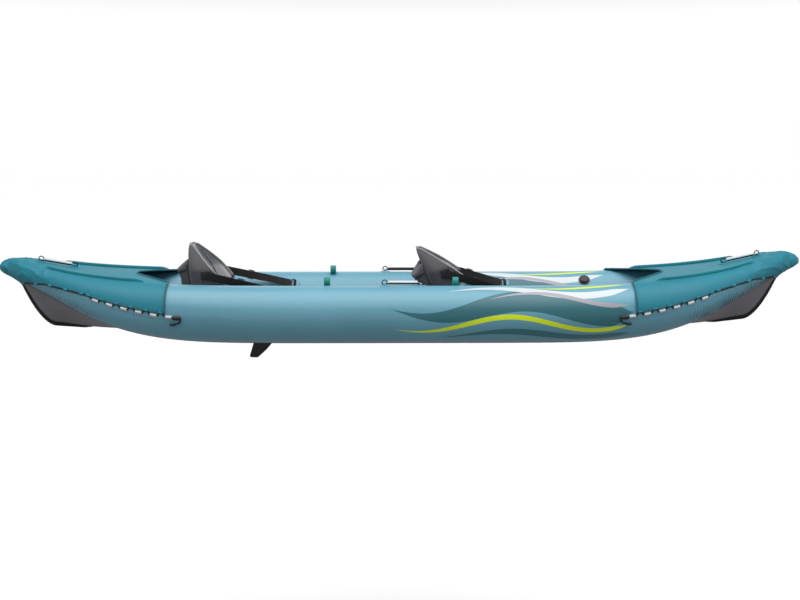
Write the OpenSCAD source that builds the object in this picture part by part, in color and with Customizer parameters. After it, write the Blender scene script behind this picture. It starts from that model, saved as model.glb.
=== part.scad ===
// Inflatable tandem kayak: two side chambers, a ribbed floor, a bottom skin, laced deck covers,
// two folding seats, carry handles, paddle keepers, valves and a slide-in fin.
// Bow along +X, port along +Y, +Z up; z = 0 is the flat bottom of the skin amidships.

/* [Side chambers] */
// Half length of the chambers, from amidships to a nose
nose_x = 1915; // [1850:5:2000]
// Diameter of a chamber amidships
tube_d = 260; // [220:2:300]
// Distance of each chamber's centre line from the centre plane amidships
tube_gauge = 340; // [320:2:400]
// Half length of the stretch that is straight and flat
flat_half = 350; // [200:10:500]
// How far the stern nose is swept up
stern_rise = 185; // [120:5:260]
// How far the bow nose is swept up
bow_rise = 215; // [120:5:280]
// Length of the rounded nose cap
cap_len = 135; // [100:5:180]
// Gap between the two chambers where they meet at a nose
nose_gap = 0.3; // [0.2:0.1:2]

/* [Bottom skin and floor] */
// Thickness of the bottom skin
skin_t = 3; // [2:0.5:6]
// Distance from amidships at which the keel starts to rise
keel_start = 900; // [700:10:1100]
// Distance of the forefoot corner from the nose
foot_in = 258; // [225:1:300]
// Height of the stern forefoot corner
stern_foot_z = 41; // [10:1:70]
// Height of the bow forefoot corner
bow_foot_z = 69; // [10:1:80]
// Distance from the nose at which the stem reaches its full height
stem_in = 100; // [65:1:115]
// Height of the stern stem at its top
stern_stem_z = 239; // [200:1:250]
// Height of the bow stem at its top
bow_stem_z = 265; // [220:1:270]
// Height of the floor's rib crests above the bottom
floor_top = 100; // [70:1:120]
// Depth of the grooves between the floor's ribs
floor_groove = 14; // [4:1:25]
// Number of ribs across the floor
floor_ribs = 5; // [3:1:7]
// Distance from the nose at which the edge binding starts
binding_in = 425; // [320:5:560]
// Width of the edge binding
binding_w = 11; // [8:0.5:20]
// Thickness of the edge binding
binding_t = 9; // [3:0.5:12]

/* [Deck covers] */
// Distance from the nose of the cover's edge on the chambers
cover_in = 860; // [820:5:900]
// Depth of the curve in the cover's edge
cover_bay = 208; // [165:1:300]
// Thickness of the cover
cover_t = 3; // [2:0.5:6]
// Crown of the deck between the chambers
deck_crown = 10; // [0:1:30]
// Width of a spray rail
rail_w = 12; // [8:0.5:20]
// Height of a spray rail
rail_h = 15; // [6:0.5:25]

/* [Lacing] */
// Distance of the first lace tab from the cover's edge, towards amidships
lace_back = 20; // [5:1:40]
// Distance between lace tabs
lace_pitch = 69; // [50:1:75]
// Number of lace tabs in a row
lace_tabs = 6; // [3:1:6]
// Length of a lace tab
tab_len = 30; // [15:1:40]
// Height of a lace tab
tab_w = 11; // [8:0.5:16]
// Thickness of a lace tab
tab_t = 2.5; // [1.5:0.5:3]
// Diameter of the lace cord
lace_d = 5; // [3:0.5:6]
// Length of a cord lock
lock_len = 24; // [16:1:26]
// Diameter of a cord lock
lock_d = 12; // [10:0.5:14]

/* [Fin] */
// Distance of the fin's root middle from amidships, towards the stern
fin_x = 655; // [500:5:800]
// Length of the fin's root
fin_root_len = 100; // [80:1:140]
// Depth of the fin's tip below the bottom
fin_depth = 123; // [80:1:180]
// Rake of the fin's tip towards the stern
fin_rake = 33; // [10:1:60]
// Width of the fin's tip
fin_tip_w = 38; // [20:1:60]
// Thickness of the fin's blade
fin_t = 6; // [4:0.5:10]
// Width of the fin's root foot
fin_foot_w = 20; // [14:0.5:30]
// Thickness of the fin's root foot
fin_foot_t = 4.4; // [3:0.2:8]
// Clearance of the fin in its box
fin_clear = 0.3; // [0.2:0.1:1]
// Wall of the fin box
fin_wall = 4; // [3:0.5:8]

/* [Seats] */
// Position of the rear seat's hinge along the hull
rear_seat_x = -960; // [-1000:5:-850]
// Position of the front seat's hinge along the hull
front_seat_x = 197; // [100:5:300]
// Lean of the rear backrest
rear_lean = 6; // [0:1:25]
// Lean of the front backrest
front_lean = 22; // [0:1:25]
// Height of the backrest
back_h = 285; // [220:5:340]
// Half width of the backrest
back_half_w = 195; // [180:1:198]
// Half width of the backrest at its top
back_top_half_w = 62; // [50:1:150]
// Thickness of the backrest
back_t = 20; // [12:1:28]
// Reach of the wings forward of the back
wing_reach = 190; // [120:5:200]
// Length of the seat base
base_len = 370; // [300:5:420]
// Half width of the seat base
base_half_w = 158; // [130:1:160]
// Thickness of the seat base
base_t = 50; // [30:1:60]
// Radius of the welt that the backrest folds about
welt_r = 6; // [4:0.5:8]
// Depth of the pouch behind the backrest
pouch_d = 55; // [20:1:70]
// Height of the pouch's foot above the hinge
pouch_z = 30; // [20:1:50]
// Height of the pouch
pouch_h = 185; // [120:5:200]
// Half width of the pouch
pouch_half_w = 150; // [80:5:160]

/* [Seat straps] */
// Width of the webbing
strap_w = 38; // [25:1:40]
// Thickness of the webbing
strap_t = 2; // [1:0.25:3]
// Height of the strap anchor above the hinge, along the backrest
anchor_u = 138; // [110:1:160]
// Distance of the strap anchor forward of the back
anchor_w = 70; // [50:1:80]
// Position of the rear strap rings along the hull
rear_ring_x = -526; // [-600:1:-450]
// Position of the front strap rings along the hull
front_ring_x = 530; // [480:1:600]
// Angle of the strap rings round the chamber, from the outboard side over the crest
ring_angle = 142; // [130:1:150]

/* [Fittings] */
// Position of the side handles along the hull
handle_x = 9; // [-60:1:80]
// Distance of the deck handles from the nose
deck_handle_in = 271; // [241:2:401]
// Distance from a grip's end to the middle of its ring's leg
grip_in = 4; // [2:0.5:6]
// Diameter of a handle's grip
grip_d = 17; // [14:0.5:18]
// Distance between a handle's rings
ring_span = 164; // [150:1:190]
// Wire diameter of rings
wire_d = 5; // [3:0.5:5]
// Running clearance of a ring's bar in its sleeve
ring_clear = 0.1; // [0.05:0.05:0.2]
// Diameter of a welded patch
patch_d = 50; // [40:1:60]
// Thickness of a welded patch
patch_t = 2.5; // [1.5:0.5:4]
// Bore radius of a paddle keeper
keeper_r = 17; // [14:0.5:20]
// Length of a paddle keeper
keeper_len = 27; // [20:1:40]
// Wall of a paddle keeper
keeper_t = 3; // [2:0.5:5]
// Position of the rear paddle keepers along the hull
rear_keeper_x = -336; // [-400:1:-250]
// Position of the front paddle keepers along the hull
front_keeper_x = 250; // [150:1:330]
// Position of the side chambers' valves along the hull
valve_x = 930; // [800:1:980]
// Position of the floor's valve along the hull
floor_valve_x = 990; // [900:1:1010]
// Diameter of a valve's flange
valve_d = 56; // [44:1:64]
// Diameter of a valve's cap
valve_cap_d = 40; // [34:1:46]
// Height of a valve's cap
valve_cap_h = 11; // [8:1:16]

/* [Hidden] */
$fn = 48;

tube_blue = "#7fa9ba";
cover_teal = "#2f8d9c";
skin_grey = "#5b585c";
seat_grey = "#7a7779";
back_grey = "#575457";
trim_black = "#242224";
tab_grey = "#c9d0d3";
keeper_teal = "#2a9d94";

// Fits and seats
seat_gap = 0.4;
cover_gap = 0.6;
side_gap = 2;
floor_gap = 0.8;

// Counts of facets along and round the chambers
flat_steps = 2;
mid_steps = 4;
end_steps = 15;
hem_steps = 6;
under_steps = 14;
deck_steps = 3;
stem_steps = 5;

// Shape of the chambers
taper = 0.62;
taper_power = 5.2;
taper_round = 4;
rise_power = 4.4;
rise_round = 2;
gauge_power = 4.5;
gauge_end_in = 45;
gauge_end = nose_x - gauge_end_in;
least_gauge = 6;
tip_cut = 2;
tip_sliver = 0.05;
cap_x = nose_x - cap_len;
tube_z = skin_t + seat_gap + tube_d / 2;
keel_power = 1.3;
stem_power = 1.8;
skin_into_cap = 40;
skin_end = cap_x + skin_into_cap;
foot_x = nose_x - foot_in;
stem_x = nose_x - stem_in;
binding_x = nose_x - binding_in;
cover_x = nose_x - cover_in;
cover_apex_x = cover_x + cover_bay;
deck_handle_x = nose_x - deck_handle_in;
least_floor = 0.35;
station_gap = 20;
apex_power = 1.3;

// Angle of the cover's hem round the chamber, by distance from the nose
hem_angles = [[55, -100], [95, -85], [163, -37], [270, 0], [368, 10], [485, 15], [cover_in, 3]];

function share(x) = max(0, (abs(x) - flat_half) / (nose_x - flat_half));
function ease(part, power, round) = 1 - pow(1 - pow(part, power), round);
function tube_r(x) = tube_d / 2 * (1 - taper * ease(share(x), taper_power, taper_round));
function tube_rise(x) = (x < 0 ? stern_rise : bow_rise) * ease(share(x), rise_power, rise_round);
function tube_zc(x) = tube_z + tube_rise(x);
function tube_yc(x) = max(least_gauge, tube_gauge * (1 - pow(abs(x) / gauge_end, gauge_power)));
function plan_slope(x) = tube_gauge * gauge_power / gauge_end * pow(abs(x) / gauge_end, gauge_power - 1);
function stretch(x) = sqrt(1 + pow(plan_slope(x), 2));
function cap_share(x) = max(0, (abs(x) - cap_x) / cap_len);
function cap(x) = sqrt(max(0, 1 - pow(cap_share(x), 2)));
function nose_shift(x, off) = sign(x) * off * cap_share(x);
function hem_angle(x) = lookup(nose_x - abs(x), hem_angles);

// A point of the port chamber's surface: angle 0 is outboard and 90 the crest
function tube_point(x, angle, off = 0) = [
    x + nose_shift(x, off),
    max(nose_gap / 2, tube_yc(x) + (tube_r(x) * stretch(x) + off) * cap(x) * cos(angle)),
    tube_zc(x) + (tube_r(x) + off) * cap(x) * sin(angle)];

// A point of the deck: across is 1 at a chamber's crest and 0 on the centre plane
function deck_point(x, across, off) = [
    x + nose_shift(x, off),
    tube_yc(x) * across,
    tube_zc(x) + (tube_r(x) + off) * cap(x)
        + deck_crown * (1 - across * across) * tube_yc(x) / tube_gauge];

// Stations from a cover's edge to the nose, closer together towards the nose
function end_station(start, step) =
    start + (nose_x - tip_cut - start) * (1 - pow(1 - step / end_steps, 2));
end_stations = [for (step = [1:end_steps]) end_station(cover_x, step)];
mid_stations = concat(
    [for (step = [1:flat_steps]) flat_half * step / flat_steps],
    [for (step = [1:mid_steps]) flat_half + (cover_x - flat_half) * step / mid_steps]);
half_stations = concat(mid_stations, end_stations);
function both_ways(half) = concat([for (i = [len(half) - 1:-1:0]) -half[i]], [0], half);

function ring_angles(x) = let (hem = hem_angle(x)) concat(
    [for (step = [0:hem_steps - 1]) 90 - (90 - hem) * step / hem_steps],
    [for (step = [0:under_steps - 1]) hem - (270 + hem) * step / under_steps]);

// Keel line of the skin
function keel_z(x) = let (
        far = abs(x),
        foot = x < 0 ? stern_foot_z : bow_foot_z,
        top = x < 0 ? stern_stem_z : bow_stem_z)
    far <= keel_start ? 0
    : far <= foot_x ? foot * pow((far - keel_start) / (foot_x - keel_start), keel_power)
    : foot + (top - foot) * pow((far - foot_x) / (stem_x - foot_x), stem_power);
function skin_edge_z(x) = tube_zc(x) - tube_r(x) * cap(x) - seat_gap - skin_t;
function floor_half_w(x) =
    max(tube_yc(x) - tube_r(x) * stretch(x) - side_gap, least_floor * tube_yc(x));
function skin_z(x, y) = keel_z(x) + (skin_edge_z(x) - keel_z(x)) * abs(y) / tube_yc(x);
stem_stations = [for (step = [0:stem_steps]) foot_x + (skin_end - foot_x) * step / stem_steps];
skin_stations = concat([for (x = half_stations) if (x < foot_x - station_gap) x], stem_stations);

function unit(v) = v / norm(v);
function mirror_end(end, p) = [end * p[0], p[1], p[2]];

module at_end(end) {
    if (end < 0) mirror([1, 0, 0]) children();
    else children();
}

// A closed solid through rings of points, each clockwise seen from the last ring
module loft(rings) {
    count = len(rings[0]);
    last = len(rings) - 1;
    sides = [for (j = [0:last - 1], k = [0:count - 1])
        let (a = j * count + k, b = j * count + (k + 1) % count)
        each [[a, b, b + count], [a, b + count, a + count]]];
    ends = [[for (k = [count - 1:-1:0]) k], [for (k = [0:count - 1]) last * count + k]];
    polyhedron([for (ring = rings) each ring], concat(sides, ends));
}

// A closed sheet between two grids; columns before turn, or with flip the others, have their
// diagonals the other way
module sheet(top, bottom, turn = 0, flip = false) {
    cols = len(top[0]);
    last = len(top) - 1;
    under = len(top) * cols;
    faces = [for (j = [0:last - 1], c = [0:cols - 2])
        let (a = j * cols + c, b = a + 1, e = a + cols, d = b + cols)
        each (c < turn) != flip
            ? [[a, e, b], [b, e, d], [under + a, under + b, under + e], [under + b, under + d, under + e]]
            : [[a, e, d], [a, d, b], [under + a, under + d, under + e], [under + a, under + b, under + d]]];
    ends = [for (c = [0:cols - 2])
        let (a = c, b = c + 1, e = last * cols + c, d = last * cols + c + 1)
        each [[a, b, under + b], [a, under + b, under + a], [d, e, under + e], [d, under + e, under + d]]];
    edges = [for (j = [0:last - 1])
        let (a = j * cols, b = a + cols, e = a + cols - 1, d = e + cols)
        each [[b, a, under + a], [b, under + a, under + b], [e, d, under + d], [e, under + d, under + e]]];
    polyhedron(concat([for (row = top) each row], [for (row = bottom) each row]),
        concat(faces, ends, edges));
}

module side_tube() {
    color(tube_blue)
    loft([for (x = both_ways(half_stations)) [for (angle = ring_angles(x)) tube_point(x, angle)]]);
}

module port_tube() side_tube();

module starboard_tube() mirror([0, 1, 0]) side_tube();

// The ribbed floor lies on the skin between the chambers
module floor_chamber() {
    points_per_rib = 4;
    end_drop = 35;
    across = floor_ribs * points_per_rib;
    floor_half = concat(mid_stations, [end_stations[0]]);
    function crest(x) = abs(x) > cover_x ? floor_top - end_drop : floor_top;
    function rib_points(x) = abs(x) > cover_x ? across : points_per_rib;
    function rib(x, i) = floor_groove * (1 - abs(sin(180 * i / rib_points(x))));
    function under(x, y) = [x, y, skin_z(x, y) + skin_t + floor_gap];
    color(tube_blue)
    loft([for (x = both_ways(floor_half)) let (w = floor_half_w(x)) concat(
        [for (i = [0:across]) [x, w * (2 * i / across - 1), crest(x) - rib(x, i)]],
        [under(x, w), under(x, 0), under(x, -w)])]);
}

module hull_skin() {
    function row(x, lift) = let (yc = tube_yc(x), w = floor_half_w(x))
        [for (y = [yc, w, 0, -w, -yc]) [x, y, skin_z(x, y) + lift]];
    stations = both_ways(skin_stations);
    color(skin_grey)
    sheet([for (x = stations) row(x, skin_t)], [for (x = stations) row(x, 0)]);
}

// The edge binding follows the keel and the stem, just outside the skin
module stem_binding(end) {
    stations = concat([binding_x, (binding_x + foot_x) / 2], stem_stations);
    half = binding_w / 2;
    crown_share = 0.55;
    shoulder_share = 0.6;
    round_w = half * crown_share;
    shoulder = binding_t * shoulder_share;
    profile = [[-half, 0], [half, 0], [half, shoulder], [round_w, binding_t], [-round_w, binding_t],
        [-half, shoulder]];
    function keel(x) = [x, 0, keel_z(end * x)];
    function ring(x) = let (
            run = unit(keel(x + 1) - keel(x - 1)),
            out = [run[2], 0, -run[0]])
        [for (p = profile) keel(x) + out * (seat_gap + p[1]) + [0, p[0], 0]];
    color(trim_black) at_end(end) loft([for (x = stations) ring(x)]);
}

module stern_stem_binding() stem_binding(-1);

module bow_stem_binding() stem_binding(1);

// One sheet from hem to hem: up a chamber, across the deck and down the other chamber
module deck_cover(end) {
    rows = concat([for (step = [0:end_steps]) step], [end_steps + 1]);
    function station(start, step) = step > end_steps ? nose_x - tip_sliver : end_station(start, step);
    function edge_x(across) = cover_apex_x - (cover_apex_x - cover_x) * pow(across, apex_power);
    function side(step, off) = let (x = station(cover_x, step), hem = hem_angle(x))
        [for (i = [0:hem_steps]) tube_point(end * x, hem + (90 - hem) * i / hem_steps, off)];
    function deck(step, off) = [for (i = [1:deck_steps]) let (across = 1 - i / deck_steps)
        deck_point(end * station(edge_x(across), step), across, off)];
    function half_row(step, off) = [for (p = concat(side(step, off), deck(step, off))) mirror_end(end, p)];
    function row(step, off) = let (half = half_row(step, off), last = len(half) - 1)
        concat(half, [for (i = [last - 1:-1:0]) [half[i][0], -half[i][1], half[i][2]]]);
    color(cover_teal) at_end(end)
    sheet([for (step = rows) row(step, cover_gap + cover_t)], [for (step = rows) row(step, cover_gap)],
        hem_steps + deck_steps, end < 0);
}

module stern_deck_cover() deck_cover(-1);

module bow_deck_cover() deck_cover(1);

// A raised rail along each chamber's crest, on the cover
module spray_rails(end) {
    rail_steps = 7;
    crown_share = 0.6;
    shoulder_share = 0.7;
    stations = [for (step = [1:rail_steps]) end_station(cover_x, step)];
    lift = cover_gap + cover_t + 2 * seat_gap;
    half = rail_w / 2;
    round_w = half * crown_share;
    shoulder = rail_h * shoulder_share;
    profile = [[-half, 0], [-half, shoulder], [-round_w, rail_h], [round_w, rail_h],
        [half, shoulder], [half, 0]];
    function ring(x) = let (crest = mirror_end(end, tube_point(end * x, 90, lift)))
        [for (p = profile) crest + [0, p[0], p[1]]];
    color(cover_teal) at_end(end)
    for (side = [0, 1]) mirror([0, side, 0]) loft([for (x = stations) ring(x)]);
}

module stern_spray_rails() spray_rails(-1);

module bow_spray_rails() spray_rails(1);

// A point of the port chamber's faceted surface between two stations, on one of its long edges
all_stations = both_ways(half_stations);
ring_count = hem_steps + under_steps;
function edge_point(x, k) = let (
        before = max([for (s = all_stations) if (s <= x) s]),
        after = min([for (s = all_stations) if (s > x) s]),
        from = tube_point(before, ring_angles(before)[k % ring_count]),
        to = tube_point(after, ring_angles(after)[k % ring_count]))
    from + (to - from) * (x - before) / (after - before);

// The seat of a fitting on the port chamber: along the hull, round it, out of it, and the place
function tube_seat(x, angle) = let (
        turn = angle > 90 ? angle - 360 : angle,
        angles = concat(ring_angles(x), [-270]),
        k = max([for (i = [0:ring_count - 1]) angles[i] >= turn ? i : 0]),
        part = (angles[k] - turn) / (angles[k] - angles[k + 1]),
        place = edge_point(x, k) * (1 - part) + edge_point(x, k + 1) * part,
        along = unit(edge_point(x + 1, k) - edge_point(x - 1, k)),
        around = edge_point(x, part == 0 ? k + ring_count - 1 : k) - edge_point(x, k + 1),
        out = unit(cross(around, along)))
    [along, cross(out, along), out, place];

// Carries children onto the port chamber: local x along the hull, local z out of the surface
module on_tube(x, angle, off = 0) {
    seat = tube_seat(x, angle);
    place = seat[3] + off * seat[2];
    multmatrix([for (i = [0:2]) [seat[0][i], seat[1][i], seat[2][i], place[i]]]) children();
}

module both_sides() {
    children();
    mirror([0, 1, 0]) children();
}

// Lace tabs sit just below the hem; the cord runs over them and over the hem
tab_drop = 7;
tab_gap = 0.7;
hem_lift = 5;
lace_off = cover_gap + cover_t + lace_d / 2 + 2 * seat_gap;
hem_end_in = 230;
hem_end_x = nose_x - hem_end_in;
hem_runs = 5;
lock_gap = 8;
tail_len = 33;
tail_steps = 3;
lock_reach = 2;
lock_clear = 0.6;
cord_sides = 6;
cord_up = [0, 0.6, 0.8];
lace_x = cover_x - lace_back;
function tab_x(i) = lace_x + lace_pitch * i;
last_tab_x = tab_x(lace_tabs - 1);
lock_x = lace_x - tab_len / 2 - lock_gap - lock_len / 2;
function lace_point(end, x, turn) = tube_point(end * x, hem_angle(x) + turn, lace_off);
function lock_point(end, shift) = let (seat = tube_seat(end * lock_x, hem_angle(lock_x) - tab_drop))
    seat[3] + seat[2] * lace_off + seat[0] * end * shift;

module lace_tab_rows(end) {
    color(tab_grey) both_sides()
    for (i = [0:lace_tabs - 1])
        on_tube(end * tab_x(i), hem_angle(tab_x(i)) - tab_drop, tab_gap)
            translate([-tab_len / 2, -tab_w / 2, 0]) cube([tab_len, tab_w, tab_t]);
}

module stern_lace_tabs() lace_tab_rows(-1);

module bow_lace_tabs() lace_tab_rows(1);

// A round cord through points, as one unbroken tube
module cord(points, r, sides) {
    last = len(points) - 1;
    function run(i) = unit(points[min(last, i + 1)] - points[max(0, i - 1)]);
    function ring(i) = let (
            ahead = run(i),
            flat = unit(cross(ahead, cord_up)),
            up = cross(flat, ahead))
        [for (k = [0:sides - 1]) let (turn = 360 * k / sides)
            points[i] + r * (cos(turn) * flat + sin(turn) * up)];
    loft([for (i = [0:last]) ring(i)]);
}

module lacing(end, side) {
    tail_start = lock_x - lock_len / 2;
    tail_step = tail_len / (tail_steps + 2);
    hang = [for (i = [tail_steps:-1:1]) lace_point(end, tail_start - i * tail_step, -tab_drop - i * i)];
    start = [for (shift = [-1, 1]) lock_point(end, shift * (lock_len / 2 + lock_reach))];
    zigzag = [for (i = [0:lace_tabs - 1]) each [
        lace_point(end, tab_x(i), -tab_drop),
        lace_point(end, tab_x(i) + lace_pitch / 2, hem_lift)]];
    hem_start = last_tab_x + lace_pitch;
    hem_step = (hem_end_x - hem_start) / hem_runs;
    hem = [for (i = [0:hem_runs]) lace_point(end, hem_start + hem_step * i, hem_lift)];
    route = [for (p = concat(hang, start, zigzag, hem)) mirror_end(end, p)];
    color(trim_black) mirror([0, side, 0]) at_end(end) cord(route, lace_d / 2, cord_sides);
}

module stern_starboard_lacing() lacing(-1, 1);

module stern_port_lacing() lacing(-1, 0);

module bow_starboard_lacing() lacing(1, 1);

module bow_port_lacing() lacing(1, 0);

module cord_locks() {
    color(trim_black) both_sides() for (end = [-1, 1])
        on_tube(end * lock_x, hem_angle(lock_x) - tab_drop, lace_off)
            rotate([0, 90, 0]) difference() {
                cylinder(d = lock_d, h = lock_len, center = true);
                cylinder(d = lace_d + 2 * lock_clear, h = lock_len + 2, center = true);
            }
}

// The fin's foot slides forward into the box's slot and the blade hangs below
fin_box_h = 2 * fin_wall + fin_foot_t + 2 * fin_clear;
fin_box_len = fin_root_len + 2 * fin_wall;
foot_z = -seat_gap - fin_wall - fin_clear - fin_foot_t;
blade_z = -seat_gap - fin_box_h - fin_clear;

module fin_box() {
    slot_w = fin_foot_w + 2 * fin_clear;
    neck_w = fin_t + 2 * fin_clear;
    box_w = slot_w + 2 * fin_wall;
    flange_side = 15;
    flange_end = 10;
    flange_t = 2.5;
    flange_w = box_w + 2 * flange_side;
    back = fin_root_len / 2 + fin_wall;
    slot_len = fin_root_len + fin_wall + fin_clear + flange_end + 1;
    slot_back = -back - flange_end - 1;
    slot_h = fin_foot_t + 2 * fin_clear;
    color(trim_black) translate([-fin_x, 0, -seat_gap]) difference() {
        union() {
            translate([-back - flange_end, -flange_w / 2, -flange_t])
                cube([fin_box_len + 2 * flange_end, flange_w, flange_t]);
            translate([-back, -box_w / 2, -fin_box_h]) cube([fin_box_len, box_w, fin_box_h]);
        }
        translate([slot_back, -slot_w / 2, -fin_wall - slot_h]) cube([slot_len, slot_w, slot_h]);
        translate([slot_back, -neck_w / 2, -fin_box_h - 1])
            cube([slot_len, neck_w, fin_box_h + 1 - fin_wall - fin_clear]);
    }
}

module fin() {
    lead_power = 1.6;
    steps = 8;
    front = fin_root_len / 2;
    heel = 8;
    tip_cut_x = 6;
    tip_cut_low = 1;
    tip_cut_high = 7;
    back = -fin_root_len / 2 + heel;
    tip = -fin_depth;
    tip_front = back - fin_rake + fin_tip_w;
    lead = [for (i = [0:steps]) let (part = i / steps)
        [front + (tip_front - front) * pow(part, lead_power), blade_z + (tip - blade_z) * part]];
    neck_top = foot_z + fin_foot_t / 2;
    color(trim_black) translate([-fin_x, 0, 0]) union() {
        translate([-front, -fin_foot_w / 2, foot_z]) cube([fin_root_len, fin_foot_w, fin_foot_t]);
        translate([0, fin_t / 2, 0]) rotate([90, 0, 0]) linear_extrude(fin_t)
            polygon(concat([[back, neck_top], [front, neck_top]], lead,
                [[back - fin_rake + tip_cut_x, tip + tip_cut_low],
                [back - fin_rake, tip + tip_cut_high]]));
    }
}

// Seats: local x forward from the hinge, local z up along the backrest
hinge_z = floor_top + seat_gap + base_t;
module at_hinge(x, lean) translate([x, 0, hinge_z]) rotate([0, -lean, 0]) children();

// A cushion with a crown and drawn-in sides
module seat_base(x) {
    levels = [[-1, 0.9], [-0.5, 1], [0.3, 1], [0.75, 0.96], [1, 0.84]];
    around = 28;
    corner = 0.35;
    half_l = base_len / 2;
    half_w = base_half_w;
    crown = 5;
    crown_top = 4;
    top_share = 0.5;
    welt_gap = 1;
    function soft(v) = sign(v) * pow(abs(v), corner);
    function ring(level) = [for (k = [0:around - 1]) let (turn = -360 * k / around)
        [half_l * level[1] * soft(cos(turn)), half_w * level[1] * soft(sin(turn)),
        level[0] * base_t / 2]];
    color(seat_grey)
    translate([x + half_l + welt_r + welt_gap, 0, hinge_z - base_t / 2 - crown])
    loft(concat([for (level = levels) [for (p = ring(level)) p + [0, 0, level[0] < 0 ? crown : 0]]],
        [[for (p = ring([1, top_share])) p + [0, 0, crown_top]]]));
}

module rear_seat_base() seat_base(rear_seat_x);

module front_seat_base() seat_base(front_seat_x);

module seat_welt(x) {
    welt_in = 20;
    color(back_grey) translate([x, 0, hinge_z]) rotate([90, 0, 0])
        cylinder(r = welt_r, h = 2 * (base_half_w - welt_in), center = true);
}

module rear_seat_welt() seat_welt(rear_seat_x);

module front_seat_welt() seat_welt(front_seat_x);

// The backrest is a U in plan whose wings grow shorter, and whose width narrows, towards the top
wing_power = 1.3;
wing_round = 5;
wing_foot = 84;
top_round = 30;
top_power = 4;
function wing_depth(u) = wing_reach * max(0, 1 - pow(max(0, u) / back_h, wing_power));
function round_part(f) = pow(max(0, f), 2 / wing_round);
function back_side(s) = sign(s) * round_part(sin(90 * abs(s)));
function back_fore(s) = 1 - round_part(cos(90 * abs(s)));
narrow_gap = 3;
narrow_power = 1.5;
narrow_u = anchor_u + strap_w / 2 + narrow_gap;
function narrow(u) = let (part = max(0, u - narrow_u) / (back_h - narrow_u))
    1 - (1 - back_top_half_w / back_half_w) * pow(part, narrow_power);

module backrest(x, lean) {
    cols = 20;
    rows = 8;
    foot_u = welt_r + seat_gap;
    function height(s, f) = let (
            low = foot_u + wing_foot * back_fore(s),
            high = back_h - top_round * pow(abs(s), top_power))
        low + (high - low) * f;
    function inner(s, f) = let (u = height(s, f))
        [wing_depth(u) * back_fore(s), (back_half_w * narrow(u) - back_t) * back_side(s), u];
    function outer(s, f) = let (u = height(s, f))
        [wing_depth(u) * back_fore(s) - back_t * (1 - back_fore(s)),
        back_half_w * narrow(u) * back_side(s), u];
    across = [for (c = [0:cols]) 2 * c / cols - 1];
    up = [for (j = [0:rows]) j / rows];
    color(seat_grey) at_hinge(x, lean)
    sheet([for (f = up) [for (s = across) inner(s, f)]], [for (f = up) [for (s = across) outer(s, f)]]);
}

module rear_backrest() backrest(rear_seat_x, rear_lean);

module front_backrest() backrest(front_seat_x, front_lean);

// A soft pouch on the back of the backrest, deepest in the middle of its height
module pouch(x, lean) {
    levels = [[0, 0.75], [0.15, 1], [0.75, 1], [1, 0.6]];
    steps = 14;
    bulge_power = 0.5;
    front = -back_t - seat_gap;
    function ring(level) = concat(
        [for (k = [0:steps]) let (turn = 180 * k / steps)
            [front - pouch_d * level[1] * pow(sin(turn), bulge_power), -pouch_half_w * cos(turn),
            pouch_z + pouch_h * level[0]]]);
    color(back_grey) at_hinge(x, lean) loft([for (level = levels) ring(level)]);
}

module rear_pouch() pouch(rear_seat_x, rear_lean);

module front_pouch() pouch(front_seat_x, front_lean);

// Anchor patches sewn on the outer faces of the wings
anchor_len = 46;
anchor_t = 2.5;
module strap_anchors(x, lean) {
    color(trim_black) at_hinge(x, lean) both_sides()
        translate([anchor_w - anchor_len / 2, back_half_w + seat_gap, anchor_u - strap_w / 2])
            cube([anchor_len, anchor_t, strap_w]);
}

module rear_strap_anchors() strap_anchors(rear_seat_x, rear_lean);

module front_strap_anchors() strap_anchors(front_seat_x, front_lean);

// Strap rings: one bar in a sleeve on a welded patch, the other in the strap's loop
bar_gap = 1.8;
bar_z = seat_gap + patch_t + wire_d / 2 + bar_gap;
ring_gauge = 16;
ring_side = 3;
ring_w = strap_w + 2 * ring_side;
sleeve_wall = 2.5;

module ring_patch(sleeve_len, across) {
    sleeve_r = wire_d / 2 + sleeve_wall;
    sleeve_z = seat_gap + patch_t / 2;
    turn = across ? 90 : 0;
    difference() {
        union() {
            translate([0, 0, seat_gap]) cylinder(d = patch_d, h = patch_t);
            rotate([0, 0, turn]) {
                translate([-sleeve_len / 2, -sleeve_r, sleeve_z])
                    cube([sleeve_len, 2 * sleeve_r, bar_z - sleeve_z]);
                translate([-sleeve_len / 2, 0, bar_z]) rotate([0, 90, 0])
                    cylinder(r = sleeve_r, h = sleeve_len);
            }
        }
        rotate([0, 0, turn]) translate([0, 0, bar_z]) rotate([0, 90, 0])
            cylinder(d = wire_d + 2 * ring_clear, h = patch_d + 2, center = true);
    }
}

module strap_ring() {
    r = wire_d / 2;
    bend = 5;
    half_w = ring_w / 2;
    translate([0, 0, bar_z]) {
        for (x = [0, -ring_gauge]) translate([x, 0, 0]) rotate([90, 0, 0])
            cylinder(r = r, h = ring_w - 2 * bend, center = true);
        for (y = [-half_w, half_w]) translate([bend - ring_gauge, y, 0]) rotate([0, 90, 0])
            cylinder(r = r, h = ring_gauge - 2 * bend);
        for (turn = [0, 1], side = [0, 1])
            translate([-ring_gauge / 2, 0, 0]) mirror([turn, 0, 0]) mirror([0, side, 0])
            translate([ring_gauge / 2 - bend, half_w - bend, 0])
            rotate_extrude(angle = 90) translate([bend, 0]) circle(r = r);
    }
}

module seat_rings() {
    color(trim_black) both_sides() for (x = [rear_ring_x, front_ring_x])
        on_tube(x, ring_angle) strap_ring();
}

module seat_ring_patches() {
    sleeve_in = 4;
    color(tube_blue) both_sides() for (x = [rear_ring_x, front_ring_x])
        on_tube(x, ring_angle) ring_patch(strap_w - 2 * sleeve_in, true);
}

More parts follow.
